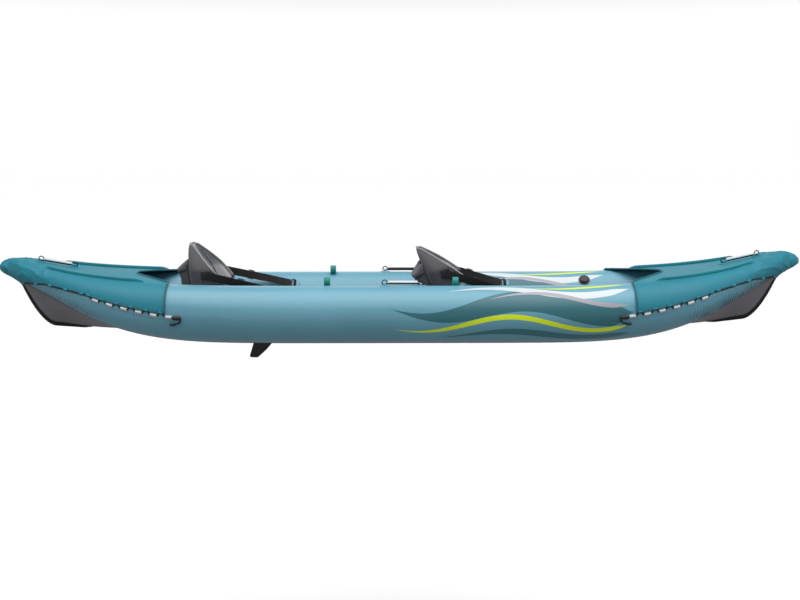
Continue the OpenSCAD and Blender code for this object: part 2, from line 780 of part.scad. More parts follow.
// A strap runs from a wing's anchor to its ring and turns over on the way
function swing(x, lean, w, u) =
    [x + w * cos(lean) - u * sin(lean), hinge_z + u * cos(lean) + w * sin(lean)];
strap_y = back_half_w + seat_gap + anchor_t + seat_gap + strap_t / 2;
function strap_start(x, lean) = let (p = swing(x, lean, anchor_w, anchor_u)) [p[0], strap_y, p[1]];
function strap_end(ring_x) = let (seat = tube_seat(ring_x, ring_angle))
    seat[3] + seat[2] * bar_z - seat[0] * (ring_gauge + wire_d / 2 + seat_gap);
function strap_face(part) = let (turn = (180 - ring_angle) * part) [0, cos(turn), -sin(turn)];
function strap_out(run, part) = unit(strap_face(part) - run * (run * strap_face(part)));

module strap(x, lean, ring_x, side) {
    steps = 8;
    start = strap_start(x, lean);
    finish = strap_end(ring_x);
    run = unit(finish - start);
    function ring(part) = let (
            middle = start + (finish - start) * part,
            out = strap_out(run, part),
            wide = cross(run, out))
        [for (p = [[-1, -1], [1, -1], [1, 1], [-1, 1]])
            let (corner = wide * p[0] * strap_w / 2 + out * p[1] * strap_t / 2)
            middle + corner - (part == 1 ? run * corner[0] / run[0] : [0, 0, 0])];
    color(trim_black) mirror([0, side, 0]) loft([for (i = [0:steps]) ring(i / steps)]);
}

module rear_starboard_strap() strap(rear_seat_x, rear_lean, rear_ring_x, 1);

module rear_port_strap() strap(rear_seat_x, rear_lean, rear_ring_x, 0);

module front_starboard_strap() strap(front_seat_x, front_lean, front_ring_x, 1);

module front_port_strap() strap(front_seat_x, front_lean, front_ring_x, 0);

// A ladder-lock buckle lies on the inboard face of each strap
module strap_buckles(x, lean, ring_x) {
    buckle_part = 0.45;
    buckle_len = 30;
    buckle_t = 5;
    bar = 4;
    slot = (buckle_len - 3 * bar) / 2;
    start = strap_start(x, lean);
    finish = strap_end(ring_x);
    run = unit(finish - start);
    out = -strap_out(run, buckle_part);
    wide = cross(out, run);
    middle = start + (finish - start) * buckle_part + out * (strap_t / 2 + 2 * seat_gap);
    color(trim_black) both_sides()
    multmatrix([for (i = [0:2]) [run[i], wide[i], out[i], middle[i]]]) difference() {
        translate([-buckle_len / 2, -strap_w / 2 - bar, 0])
            cube([buckle_len, strap_w + 2 * bar, buckle_t]);
        for (side = [-1, 1]) translate([side * (slot + bar) / 2 - slot / 2, -strap_w / 2, -1])
            cube([slot, strap_w, buckle_t + 2]);
    }
}

module rear_strap_buckles() strap_buckles(rear_seat_x, rear_lean, rear_ring_x);

module front_strap_buckles() strap_buckles(front_seat_x, front_lean, front_ring_x);

// Carry handles: two D-rings in sleeves, and a grip whose eyes hold the rings' inner legs
ring_r = 11;
leg_h = 8;
sleeve_len = 10;
grip_lift = 7.2;
grip_len = ring_span - 2 * (ring_r + grip_in);
deck_off = cover_gap + cover_t + 2 * seat_gap;
function deck_top(end, x) = deck_point(end * x, 0, deck_off);

module at_handle(place) {
    if (place == "starboard") mirror([0, 1, 0]) on_tube(handle_x, 90) children();
    else if (place == "port") on_tube(handle_x, 90) children();
    else {
        end = place == "bow" ? 1 : -1;
        front = deck_top(end, deck_handle_x + ring_span / 2);
        back = deck_top(end, deck_handle_x - ring_span / 2);
        slope = atan2(front[2] - back[2], end * (front[0] - back[0]));
        translate((front + back) / 2) rotate([0, -end * slope, 0]) children();
    }
}

module d_ring() {
    r = wire_d / 2;
    translate([0, 0, bar_z]) {
        rotate([0, 90, 0]) cylinder(r = r, h = 2 * ring_r, center = true);
        for (x = [-1, 1]) translate([x * ring_r, 0, 0]) {
            sphere(r = r);
            cylinder(r = r, h = leg_h);
        }
        translate([0, 0, leg_h]) rotate([90, 0, 0])
            rotate_extrude(angle = 180) translate([ring_r, 0]) circle(r = r);
    }
}

module handle_rings(place) {
    color(trim_black) at_handle(place) for (x = [-1, 1])
        translate([x * ring_span / 2, 0, 0]) d_ring();
}

module handle_grip(place) {
    eye_x = ring_span / 2 - ring_r;
    eye_wall = 2.7;
    eye_gap = 0.5;
    eye_reach = 3;
    eye_r = wire_d / 2 + eye_wall;
    eye_z = bar_z + wire_d / 2 + eye_gap;
    eye_h = leg_h - wire_d / 2 - eye_gap;
    bore_h = 60;
    color(tab_grey) at_handle(place) difference() {
        union() {
            translate([0, 0, bar_z + grip_lift]) rotate([0, 90, 0])
                cylinder(d = grip_d, h = grip_len, center = true);
            for (x = [-1, 1]) translate([x * eye_x, 0, eye_z]) {
                cylinder(r = eye_r, h = eye_h);
                translate([x > 0 ? -eye_r - eye_reach : 0, -eye_r, 0])
                    cube([eye_r + eye_reach, 2 * eye_r, eye_h]);
            }
        }
        for (x = [-1, 1]) translate([x * eye_x, 0, 0])
            cylinder(d = wire_d + 2 * ring_clear, h = bore_h);
    }
}

module handle_patches(chosen) {
    for (place = chosen) at_handle(place) for (x = [-1, 1])
        translate([x * ring_span / 2, 0, 0]) ring_patch(sleeve_len, false);
}

module starboard_handle_rings() handle_rings("starboard");

module port_handle_rings() handle_rings("port");

module bow_handle_rings() handle_rings("bow");

module stern_handle_rings() handle_rings("stern");

module starboard_handle_grip() handle_grip("starboard");

module port_handle_grip() handle_grip("port");

module bow_handle_grip() handle_grip("bow");

module stern_handle_grip() handle_grip("stern");

module side_handle_patches() color(tube_blue) handle_patches(["starboard", "port"]);

module deck_handle_patches() color(cover_teal) handle_patches(["bow", "stern"]);

// Paddle keepers: loops on the chambers' inner upper side, open along the hull
keeper_angle = 107;
module keeper() {
    foot_w = 30;
    foot_t = 3;
    middle = seat_gap + foot_t + keeper_t / 2 + keeper_r;
    difference() {
        union() {
            translate([-keeper_len / 2, -foot_w / 2, seat_gap]) cube([keeper_len, foot_w, foot_t]);
            translate([0, 0, middle]) rotate([0, 90, 0])
                cylinder(r = keeper_r + keeper_t, h = keeper_len, center = true);
        }
        translate([0, 0, middle]) rotate([0, 90, 0])
            cylinder(r = keeper_r, h = keeper_len + 2, center = true);
        translate([-keeper_len, -foot_w, -foot_w + seat_gap])
            cube([2 * keeper_len, 2 * foot_w, foot_w]);
    }
}

module paddle_keepers() {
    color(keeper_teal) both_sides() for (x = [rear_keeper_x, front_keeper_x])
        on_tube(x, keeper_angle) keeper();
}

// Valves: a flange and a neck, and a cap that turns on the neck
valve_angle = 135;
flange_t = 3;
cap_wall = 3;
module at_valve(place) {
    if (place == "floor") translate([floor_valve_x, 0, floor_top]) children();
    else mirror([0, place == "starboard" ? 1 : 0, 0]) on_tube(valve_x, valve_angle) children();
}

module valve_body(place) {
    neck_d = valve_cap_d - 2 * cap_wall - 2 * ring_clear;
    color(trim_black) at_valve(place) translate([0, 0, seat_gap]) {
        cylinder(d = valve_d, h = flange_t);
        translate([0, 0, flange_t]) cylinder(d = neck_d, h = valve_cap_h - cap_wall);
    }
}

module cap_body(place) {
    flutes = 12;
    flute_d = 4;
    flute_out = 0.6;
    color(trim_black) at_valve(place) translate([0, 0, 2 * seat_gap + flange_t]) difference() {
        cylinder(d = valve_cap_d, h = valve_cap_h);
        translate([0, 0, -1])
            cylinder(d = valve_cap_d - 2 * cap_wall, h = valve_cap_h - cap_wall + 1);
        for (i = [0:flutes - 1]) rotate([0, 0, 360 * i / flutes])
            translate([valve_cap_d / 2 + flute_out, 0, -1])
            cylinder(d = flute_d, h = valve_cap_h + 2);
    }
}

module starboard_valve() valve_body("starboard");

module port_valve() valve_body("port");

module floor_valve() valve_body("floor");

module starboard_valve_cap() cap_body("starboard");

module port_valve_cap() cap_body("port");

module floor_valve_cap() cap_body("floor");

port_tube();
starboard_tube();
floor_chamber();
hull_skin();
stern_stem_binding();
bow_stem_binding();
stern_deck_cover();
bow_deck_cover();
stern_spray_rails();
bow_spray_rails();
stern_lace_tabs();
bow_lace_tabs();
stern_starboard_lacing();
stern_port_lacing();
bow_starboard_lacing();
bow_port_lacing();
cord_locks();
fin_box();
fin();
rear_seat_base();
front_seat_base();
rear_seat_welt();
front_seat_welt();
rear_backrest();
front_backrest();
rear_pouch();
front_pouch();
rear_strap_anchors();
front_strap_anchors();
seat_rings();
seat_ring_patches();
rear_starboard_strap();
rear_port_strap();
front_starboard_strap();
front_port_strap();
rear_strap_buckles();
front_strap_buckles();
starboard_handle_rings();
port_handle_rings();
bow_handle_rings();
stern_handle_rings();
starboard_handle_grip();
port_handle_grip();
bow_handle_grip();
stern_handle_grip();
side_handle_patches();
deck_handle_patches();
paddle_keepers();
starboard_valve();
port_valve();
floor_valve();
starboard_valve_cap();
port_valve_cap();
floor_valve_cap();
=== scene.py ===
"""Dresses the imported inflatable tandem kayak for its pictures.

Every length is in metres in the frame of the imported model: bow along +X, port along +Y, +Z up.
"""
from __future__ import annotations

import logging
import math
from dataclasses import dataclass
from enum import Enum
from typing import Callable, Sequence

import bpy
import numpy as np
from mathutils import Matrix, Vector, noise


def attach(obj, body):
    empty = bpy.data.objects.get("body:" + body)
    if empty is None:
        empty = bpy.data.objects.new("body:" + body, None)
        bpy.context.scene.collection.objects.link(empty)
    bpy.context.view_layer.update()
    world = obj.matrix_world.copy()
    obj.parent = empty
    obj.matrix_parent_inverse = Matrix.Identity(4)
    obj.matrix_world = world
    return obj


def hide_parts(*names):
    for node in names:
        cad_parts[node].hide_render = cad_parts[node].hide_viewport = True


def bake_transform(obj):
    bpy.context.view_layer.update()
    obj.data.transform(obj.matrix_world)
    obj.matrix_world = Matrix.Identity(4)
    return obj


LOG = logging.getLogger("kayak")
Point = tuple[float, float, float]
Place = Callable[[float, float], Point]
Surface = Callable[[float, float, float], Point]
PORT, STARBOARD = 1, -1
BOW, STERN = 1, -1
SIDES = ((PORT, "port"), (STARBOARD, "starboard"))
ENDS = ((STERN, "stern"), (BOW, "bow"))
# Corners nearer than this are one corner
MERGE_DISTANCE = 0.00002
# Typical of PVC, polyester and nylon
POLYMER_IOR = 1.5
# Where the seat straps' rings are: along the hull, and in degrees round the chamber
RING_XS = {"rear": -0.526, "front": 0.530}
RING_ANGLE = 142.0


def deselect() -> None:
    """Leaves edit mode and clears the selection."""
    if bpy.context.object and bpy.context.object.mode != "OBJECT":
        bpy.ops.object.mode_set(mode="OBJECT")
    bpy.ops.object.select_all(action="DESELECT")


def activate(piece: bpy.types.Object) -> None:
    """Makes one piece the only selected and active one.

    Args:
        piece: The object that the next operators act on.
    """
    deselect()
    piece.select_set(True)
    bpy.context.view_layer.objects.active = piece


def apply_modifier(piece: bpy.types.Object, kind: str, **settings: object) -> None:
    """Adds one modifier and applies it.

    Args:
        piece: The object to change.
        kind: Blender's name of the modifier type.
        settings: The modifier's own settings.
    """
    activate(piece)
    modifier = piece.modifiers.new(kind.lower(), kind)
    for key, value in settings.items():
        setattr(modifier, key, value)
    bpy.ops.object.modifier_apply(modifier=modifier.name)


def merge(piece: bpy.types.Object, outward: bool) -> None:
    """Merges doubles and, on a closed form, turns all faces outwards.

    Args:
        piece: The mesh object.
        outward: True for a closed form.
    """
    activate(piece)
    bpy.ops.object.mode_set(mode="EDIT")
    bpy.ops.mesh.select_all(action="SELECT")
    bpy.ops.mesh.remove_doubles(threshold=MERGE_DISTANCE)
    bpy.ops.mesh.delete_loose()
    if outward:
        bpy.ops.mesh.select_all(action="SELECT")
        bpy.ops.mesh.normals_make_consistent(inside=False)
    bpy.ops.object.mode_set(mode="OBJECT")


def thicken(piece: bpy.types.Object, thickness: float) -> None:
    """Gives an open sheet its thickness, half to each side, and turns its faces outwards.

    Args:
        piece: The sheet's mesh object.
        thickness: The sheet's thickness.
    """
    apply_modifier(piece, "SOLIDIFY", thickness=thickness, offset=0.0)
    merge(piece, True)


def hang(name: str, data: bpy.types.ID) -> bpy.types.Object:
    """Makes an object and puts it in the scene.

    Args:
        name: The object's name.
        data: Its mesh, light or camera.

    Returns:
        The new object.
    """
    made = bpy.data.objects.new(name, data)
    bpy.context.scene.collection.objects.link(made)
    return made


def wrap_grid(name: str, steps: tuple[int, int], place: Place, uv_size: tuple[float, float],
              closed: bool = True) -> bpy.types.Object:
    """Lays a flat grid over a surface, as a sheet is laid over a form.

    Args:
        name: The new piece's name.
        steps: Faces along u and along v.
        place: Gives the surface point for u and v from 0 to 1.
        uv_size: Length and width of the surface, so that the UV map is in metres.
        closed: True where the surface closes on itself.

    Returns:
        The new mesh object, smooth shaded.
    """
    deselect()
    bpy.ops.mesh.primitive_grid_add(x_subdivisions=steps[0], y_subdivisions=steps[1], size=2.0)
    piece = bpy.context.active_object
    piece.name = piece.data.name = name
    mesh = piece.data
    flat = np.empty(len(mesh.vertices) * 3, np.float32)
    mesh.vertices.foreach_get("co", flat)
    corners = (flat.reshape(-1, 3)[:, :2] + 1.0) / 2.0
    points = np.array([place(float(u), float(v)) for u, v in corners], np.float32)
    mesh.vertices.foreach_set("co", points.ravel())
    layer = mesh.uv_layers.active.data
    uvs = np.empty(len(layer) * 2, np.float32)
    layer.foreach_get("uv", uvs)
    uvs = uvs.reshape(-1, 2) * np.array(uv_size, np.float32)
    layer.foreach_set("uv", uvs.ravel())
    mesh.update()
    merge(piece, closed)
    bpy.ops.object.shade_smooth()
    return piece


def smooth_path(points: Sequence[Point], per_span: int) -> list[Vector]:
    """Draws a smooth curve through points.

    Args:
        points: The points to pass through.
        per_span: New points from each point to the next.

    Returns:
        The points of the smooth curve.
    """
    knots = [Vector(p) for p in points]
    ends = [knots[0] * 2 - knots[1]] + knots + [knots[-1] * 2 - knots[-2]]
    path = []
    for i in range(1, len(ends) - 2):
        a, b, c, d = ends[i - 1:i + 3]
        for step in range(per_span):
            t = step / per_span
            path.append(0.5 * (2 * b + (c - a) * t + (2 * a - 5 * b + 4 * c - d) * t ** 2
                               + (3 * b - a - 3 * c + d) * t ** 3))
    path.append(knots[-1])
    return path


def tube_along(name: str, path: Sequence[Vector], radius: float, sides: int,
               up: Point = (0.0, 0.6, 0.8), flat: float = 1.0, square: float = 1.0) -> bpy.types.Object:
    """A round or flattened tube along a path, closed at both ends.

    Args:
        name: The new piece's name.
        path: The middle line.
        radius: Half the tube's height.
        sides: Faces round the tube.
        up: A direction that the path never runs along.
        flat: Width of the tube as a share of its height.
        square: 1 for a round section, less for a squarer one.

    Returns:
        The new mesh object.
    """
    count = len(path) - 1
    runs = [(path[min(count, i + 1)] - path[max(0, i - 1)]).normalized() for i in range(count + 1)]
    length = sum((path[i + 1] - path[i]).length for i in range(count))

    def place(u: float, v: float) -> Point:
        """A point of the tube, drawn in to a pole at each end.

        Args:
            u: Along the tube, from 0 to 1.
            v: Round the tube, from 0 to 1.

        Returns:
            The point.
        """
        i = min(count, max(0, round(u * (count + 2)) - 1))
        pole = u < 0.5 / (count + 2) or u > 1 - 0.5 / (count + 2)
        across = runs[i].cross(Vector(up)).normalized()
        over = across.cross(runs[i])
        turn = 2 * math.pi * v
        reach = 0.0 if pole else radius
        side, rise = squared(math.cos(turn), square), squared(math.sin(turn), square)
        return tuple(path[i] + across * (reach * flat * side) + over * (reach * rise))

    return wrap_grid(name, (count + 2, sides), place, (length, 2 * math.pi * radius))


def eased_copy(name: str, node: str, width: float) -> bpy.types.Object:
    """Copies a rigid CAD node and eases its edges, as a mould does.

    Args:
        name: The new piece's name.
        node: The CAD node to copy.
        width: Width of the eased edge.

    Returns:
        The new mesh object, which stands for the node.
    """
    piece = hang(name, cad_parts[node].data.copy())
    merge(piece, False)
    apply_modifier(piece, "BEVEL", width=width, segments=2, limit_method="ANGLE", angle_limit=0.7)
    bpy.ops.object.shade_smooth_by_angle(angle=0.6)
    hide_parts(node)
    return piece


def join(name: str, pieces: Sequence[bpy.types.Object]) -> bpy.types.Object:
    """Joins several meshes into one piece.

    Args:
        name: The joined piece's name.
        pieces: The meshes.

    Returns:
        The joined object.
    """
    deselect()
    for piece in pieces:
        piece.select_set(True)
    bpy.context.view_layer.objects.active = pieces[0]
    bpy.ops.object.join()
    pieces[0].name = pieces[0].data.name = name
    return pieces[0]


def squared(value: float, power: float) -> float:
    """A sine or cosine drawn out towards 1 and -1, which squares a round section."""
    return math.copysign(abs(value) ** power, value)


def ease(value: float, low: float, high: float) -> float:
    """A smooth step: 0 below low, 1 above high."""
    t = min(1.0, max(0.0, (value - low) / (high - low)))
    return t * t * (3 - 2 * t)


def linear(code: str) -> tuple[float, float, float, float]:
    """Turns an sRGB hex colour into a linear one.

    Args:
        code: Six hex digits.

    Returns:
        Linear red, green, blue and a full alpha.
    """
    shares = [int(code[i:i + 2], 16) / 255 for i in (0, 2, 4)]
    parts = [c / 12.92 if c <= 0.04045 else ((c + 0.055) / 1.055) ** 2.4 for c in shares]
    return (*parts, 1.0)


def add_node(tree: bpy.types.NodeTree, kind: str, inputs: dict | None = None,
             **settings: object) -> bpy.types.Node:
    """Adds one shader node with its settings, values and links.

    Args:
        tree: The material's node tree.
        kind: Blender's name of the node type.
        inputs: Socket name or number to a value, or to the output linked to it.
        settings: The node's own settings.

    Returns:
        The new node.
    """
    node = tree.nodes.new(kind)
    for key, value in settings.items():
        setattr(node, key, value)
    for key, value in (inputs or {}).items():
        if isinstance(value, bpy.types.NodeSocket):
            tree.links.new(value, node.inputs[key])
        else:
            node.inputs[key].default_value = value
    return node


def settle(piece: bpy.types.Object, body: str, slot: str, *nodes: str) -> None:
    """Gives a finished piece its body and hides the solids that it stands for.

    Args:
        piece: The finished mesh object.
        body: The CAD body that it moves with.
        slot: The record's material slot; not used.
        nodes: The CAD nodes that it replaces.
    """
    if nodes:
        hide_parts(*nodes)
    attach(piece, body)
    LOG.info("%s: %d faces", piece.name, len(piece.data.polygons))


class Pattern(Enum):
    """How a surface was made, which decides the pattern that it shows."""

    COATED = "coated fabric"
    WEAVE = "plain weave"
    MESH = "spacer mesh"
    WEBBING = "ribbed webbing"
    BRAID = "braided cord"
    MOULDED = "moulded plastic"


@dataclass(frozen=True)
class Ribbon:
    """One wavy stripe printed on a chamber: its line in x and in turns from the crest."""

    colour: str
    middle: float
    sway: float
    wave: float
    phase: float
    half_width: float
    start: float
    full: float
    fade: float = 0.94
    end: float = 1.06


@dataclass(frozen=True)
class Finish:
    """One real material and how it was made.

    The two colours are its clean and its shaded tone, pitch_mm the size of its pattern and
    depth_mm how deep that pattern is.
    """

    name: str
    pattern: Pattern
    colour: str
    shade: str
    roughness: float
    pitch_mm: float
    depth_mm: float
    mottle_mm: float = 120.0
    sheen: float = 0.0
    coat: float = 0.0
    ribbons: tuple[Ribbon, ...] = ()
    gloss_swing: float = 0.06

    def height(self, tree: bpy.types.NodeTree, coords: bpy.types.Node) -> bpy.types.NodeSocket:
        """Draws the pattern's height.

        Args:
            tree: The material's node tree.
            coords: The Texture Coordinate node.

        Returns:
            The socket that carries the height, from 0 to about 1.
        """
        scale = 1000.0 / self.pitch_mm
        if self.pattern in (Pattern.COATED, Pattern.MOULDED):
            grain = add_node(tree, "ShaderNodeTexNoise", {"Vector": coords.outputs["Object"],
                                                          "Scale": scale, "Detail": 3.0})
            return grain.outputs["Fac"]
        if self.pattern is Pattern.MESH:
            cells = add_node(tree, "ShaderNodeTexVoronoi", {"Vector": coords.outputs["UV"],
                                                            "Scale": scale, "Randomness": 0.15})
            return cells.outputs["Distance"]
        turn = {Pattern.WEAVE: 0.0, Pattern.WEBBING: 0.0, Pattern.BRAID: math.pi / 4}[self.pattern]
        threads = add_node(tree, "ShaderNodeMapping", {"Vector": coords.outputs["UV"],
                                                       "Rotation": (0.0, 0.0, turn)})
        yarns = []
        for direction in ("X", "Y"):
            wide = 2.5 if self.pattern is Pattern.WEBBING and direction == "Y" else 1.0
            yarns.append(add_node(tree, "ShaderNodeTexWave", {
                "Vector": threads.outputs["Vector"], "Scale": scale / (2 * math.pi) / wide,
                "Distortion": 0.4, "Detail": 1.0}, bands_direction=direction))
        crossed = add_node(tree, "ShaderNodeMath", {0: yarns[0].outputs["Fac"], 1: yarns[1].outputs["Fac"]},
                           operation="MULTIPLY")
        return crossed.outputs["Value"]

    def printed(self, tree: bpy.types.NodeTree, coords: bpy.types.Node,
                ground: bpy.types.NodeSocket) -> bpy.types.NodeSocket:
        """Lays the wavy stripes over the ground colour.

        Args:
            tree: The material's node tree.
            coords: The Texture Coordinate node.
            ground: The colour under the stripes.

        Returns:
            The colour with the stripes.
        """
        place = add_node(tree, "ShaderNodeSeparateXYZ", {0: coords.outputs["Object"]})
        round_it = add_node(tree, "ShaderNodeSeparateXYZ", {0: coords.outputs["UV"]})
        from_foot = add_node(tree, "ShaderNodeMath", {0: round_it.outputs["Y"], 1: 0.5},
                             operation="SUBTRACT")
        fold = add_node(tree, "ShaderNodeMath", {0: from_foot.outputs[0]}, operation="ABSOLUTE")
        from_crest = add_node(tree, "ShaderNodeMath", {0: 0.5, 1: fold.outputs[0]}, operation="SUBTRACT")
        colour = ground
        for ribbon in self.ribbons:
            angle = add_node(tree, "ShaderNodeMath", {0: place.outputs["X"], 1: 2 * math.pi / ribbon.wave,
                                                      2: ribbon.phase}, operation="MULTIPLY_ADD")
            swing = add_node(tree, "ShaderNodeMath", {0: angle.outputs[0]}, operation="SINE")
            line = add_node(tree, "ShaderNodeMath", {0: swing.outputs[0], 1: ribbon.sway, 2: ribbon.middle},
                            operation="MULTIPLY_ADD")
            away = add_node(tree, "ShaderNodeMath", {0: from_crest.outputs[0], 1: line.outputs[0]},
                            operation="SUBTRACT")
            off = add_node(tree, "ShaderNodeMath", {0: away.outputs[0]}, operation="ABSOLUTE")
            width = add_node(tree, "ShaderNodeMapRange", {
                "Value": place.outputs["X"], "From Min": ribbon.start, "From Max": ribbon.full,
                "To Min": -0.004, "To Max": ribbon.half_width}, interpolation_type="SMOOTHSTEP")
            narrow = add_node(tree, "ShaderNodeMapRange", {
                "Value": place.outputs["X"], "From Min": ribbon.fade, "From Max": ribbon.end,
                "To Min": ribbon.half_width, "To Max": -0.004}, interpolation_type="SMOOTHSTEP")
            least = add_node(tree, "ShaderNodeMath", {0: width.outputs[0], 1: narrow.outputs[0]},
                             operation="MINIMUM")
            inside = add_node(tree, "ShaderNodeMath", {0: off.outputs[0], 1: least.outputs[0]},
                              operation="LESS_THAN")
            laid = add_node(tree, "ShaderNodeMix", {0: inside.outputs[0], 6: colour,
                                                    7: linear(ribbon.colour)}, data_type="RGBA")
            colour = laid.outputs[2]
        return colour

    def material(self) -> bpy.types.Material:
        """Builds the material once.

        Returns:
            The material, the same one at each call.
        """
        if self.name in bpy.data.materials:
            return bpy.data.materials[self.name]
        made = bpy.data.materials.new(self.name)
        made.use_nodes = True
        tree = made.node_tree
        shader = tree.nodes["Principled BSDF"]
        coords = add_node(tree, "ShaderNodeTexCoord")
        height = self.height(tree, coords)
        mottle = add_node(tree, "ShaderNodeTexNoise", {
            "Vector": coords.outputs["Object"], "Scale": 1000.0 / self.mottle_mm, "Detail": 4.0})
        blend = add_node(tree, "ShaderNodeMath", {0: mottle.outputs["Fac"], 1: height}, operation="MULTIPLY")
        weak = self.pattern in (Pattern.COATED, Pattern.MOULDED)
        tone = add_node(tree, "ShaderNodeMapRange", {"Value": blend.outputs[0], "From Min": 0.1,
                                                     "From Max": 0.4 if weak else 0.6})
        colour = add_node(tree, "ShaderNodeMix", {0: tone.outputs[0], 6: linear(self.shade),
                                                  7: linear(self.colour)}, data_type="RGBA")
        ground = colour.outputs[2]
        if self.ribbons:
            ground = self.printed(tree, coords, ground)
        tree.links.new(ground, shader.inputs["Base Color"])
        gloss = add_node(tree, "ShaderNodeMapRange", {
            "Value": mottle.outputs["Fac"], "From Min": 0.3, "From Max": 0.7,
            "To Min": self.roughness - self.gloss_swing, "To Max": self.roughness + self.gloss_swing})
        tree.links.new(gloss.outputs[0], shader.inputs["Roughness"])
        bump = add_node(tree, "ShaderNodeBump", {"Height": height, "Strength": 0.6,
                                                 "Distance": self.depth_mm / 1000.0})
        tree.links.new(bump.outputs["Normal"], shader.inputs["Normal"])
        shader.inputs["Sheen Weight"].default_value = self.sheen
        shader.inputs["Coat Weight"].default_value = self.coat
        shader.inputs["IOR"].default_value = POLYMER_IOR
        return made

    def dress(self, piece: bpy.types.Object) -> None:
        """Makes this the piece's only finish.

        Args:
            piece: The mesh object.
        """
        piece.data.materials.clear()
        piece.data.materials.append(self.material())


# Wavy stripes of the chambers' print, in the order that they are laid, wider towards the bow
STRIPES = (
    Ribbon("2d6a75", 0.200, 0.048, 0.80, 0.4, 0.064, -0.15, 0.50),
    Ribbon("35727d", 0.362, 0.028, 0.80, 1.0, 0.024, 0.00, 0.65),
    Ribbon("cfd8dd", 0.088, 0.034, 0.80, 1.5, 0.024, 0.08, 0.60),
    Ribbon("dcf21c", 0.290, 0.044, 0.80, 0.9, 0.014, -0.20, 0.35),
    Ribbon("a29fa8", 0.148, 0.046, 0.80, 0.1, 0.013, 0.25, 0.70),
    Ribbon("dcf21c", 0.045, 0.018, 0.80, 2.4, 0.009, 0.40, 0.85),
)
# Polyester laminated with PVC: satin, a faint grain that is drawn coarse enough to show
TUBE_PVC = Finish("laminated_pvc_blue", Pattern.COATED, "6aa4b8", "6099ad", 0.36, 5.0, 0.10,
                  mottle_mm=300.0, ribbons=STRIPES)
PLAIN_PVC = Finish("laminated_pvc_plain", Pattern.COATED, "6aa4b8", "6099ad", 0.38, 5.0, 0.10)
# The same laminate painted darker in the valleys of the gathers: painted shade where little light comes in
FOLD_PAINTED_SHADE = Finish("laminated_pvc_fold_painted_shade", Pattern.COATED, "4f8799", "477d8f", 0.42, 5.0, 0.10)
DEEP_FOLD_PAINTED_SHADE = Finish("laminated_pvc_deep_fold_painted_shade", Pattern.COATED, "3c6d7c", "346371", 0.5, 5.0, 0.10)
# The floor is of a duller laminate
FLOOR_PVC = Finish("laminated_pvc_floor", Pattern.COATED, "7c9aa8", "6d8b99", 0.42, 5.0, 0.12)
# Tarpaulin: heavier, matt, with scuffs
SKIN_PVC = Finish("tarpaulin_grey", Pattern.COATED, "7b787f", "6c6970", 0.5, 4.0, 0.15, mottle_mm=200.0)
# Coated polyester cloth: soft sheen, its yarns drawn at twice their size
COVER_CLOTH = Finish("coated_polyester_teal", Pattern.WEAVE, "118a9e", "0c788b", 0.55, 2.4, 0.10)
# Partly painted light: the rails' lighter teal stands for the light on their tops
COVER_RAIL = Finish("coated_polyester_welt", Pattern.WEAVE, "2798a4", "1f8590", 0.5, 2.4, 0.10)
# Partly painted shade: the darker teal of the rim and hem piping stands, along the hems, for the shade at
# the cover's edge
COVER_DARK = Finish("coated_polyester_dark_teal", Pattern.WEAVE, "1f7280", "18606d", 0.55, 2.4, 0.10)
# Spacer mesh on foam: open cells of about 3 mm, drawn four times as coarse so that they show
SEAT_MESH = Finish("spacer_mesh_grey", Pattern.MESH, "5c5a5e", "c4c2c6", 0.8, 12.0, 0.8, sheen=0.1)
# Woven polyester, its edge tape and its thread: matt, the yarns drawn at twice their size
SEAT_CLOTH = Finish("woven_polyester_grey", Pattern.WEAVE, "59575c", "454348", 0.8, 2.4, 0.25, sheen=0.2)
SEAT_EDGE = Finish("edge_tape_grey", Pattern.WEBBING, "a9a7ab", "8b898d", 0.75, 2.4, 0.2, sheen=0.1)
SEAM_THREAD = Finish("seam_thread_dark", Pattern.BRAID, "2a282b", "1f1d20", 0.8, 2.0, 0.2)
# Woven nylon webbing: ribbed and near black
WEBBING = Finish("nylon_webbing_black", Pattern.WEBBING, "1a181a", "0f0e10", 0.85, 2.4, 0.3)
# Cloths with a plain grain in the boat's own coordinates, for small pieces and the base cushions
KEEPER_CLOTH = Finish("webbing_teal", Pattern.COATED, "1f9389", "187a72", 0.65, 2.0, 0.2)
SEAT_CLOTH_OBJECT = Finish("woven_polyester_cushion", Pattern.COATED, "6a686d", "545257", 0.8, 3.0, 0.25,
                           sheen=0.2)
WEBBING_SEWN = Finish("nylon_webbing_sewn", Pattern.COATED, "201e21", "151416", 0.8, 2.0, 0.25)
COVER_OBJECT = Finish("coated_polyester_patch", Pattern.COATED, "118a9e", "0c788b", 0.55, 3.0, 0.10)
# Braided cord: near black and dull
LACE = Finish("braided_cord_black", Pattern.BRAID, "1c1a1d", "0f0e10", 0.8, 2.0, 0.3)
# Acetal and nylon mouldings: satin, with a faint spark-eroded grain
BLACK_PLASTIC = Finish("moulded_nylon_black", Pattern.MOULDED, "1d1b1e", "141315", 0.5, 1.6, 0.05)
GRIP_PLASTIC = Finish("moulded_grip_pale", Pattern.MOULDED, "dfe3e5", "cdd2d5", 0.4, 1.6, 0.05)
# Welded tabs of pale laminate
TAB_PVC = Finish("welded_tab_pale", Pattern.COATED, "cdd4d7", "b9c2c6", 0.45, 3.0, 0.08)

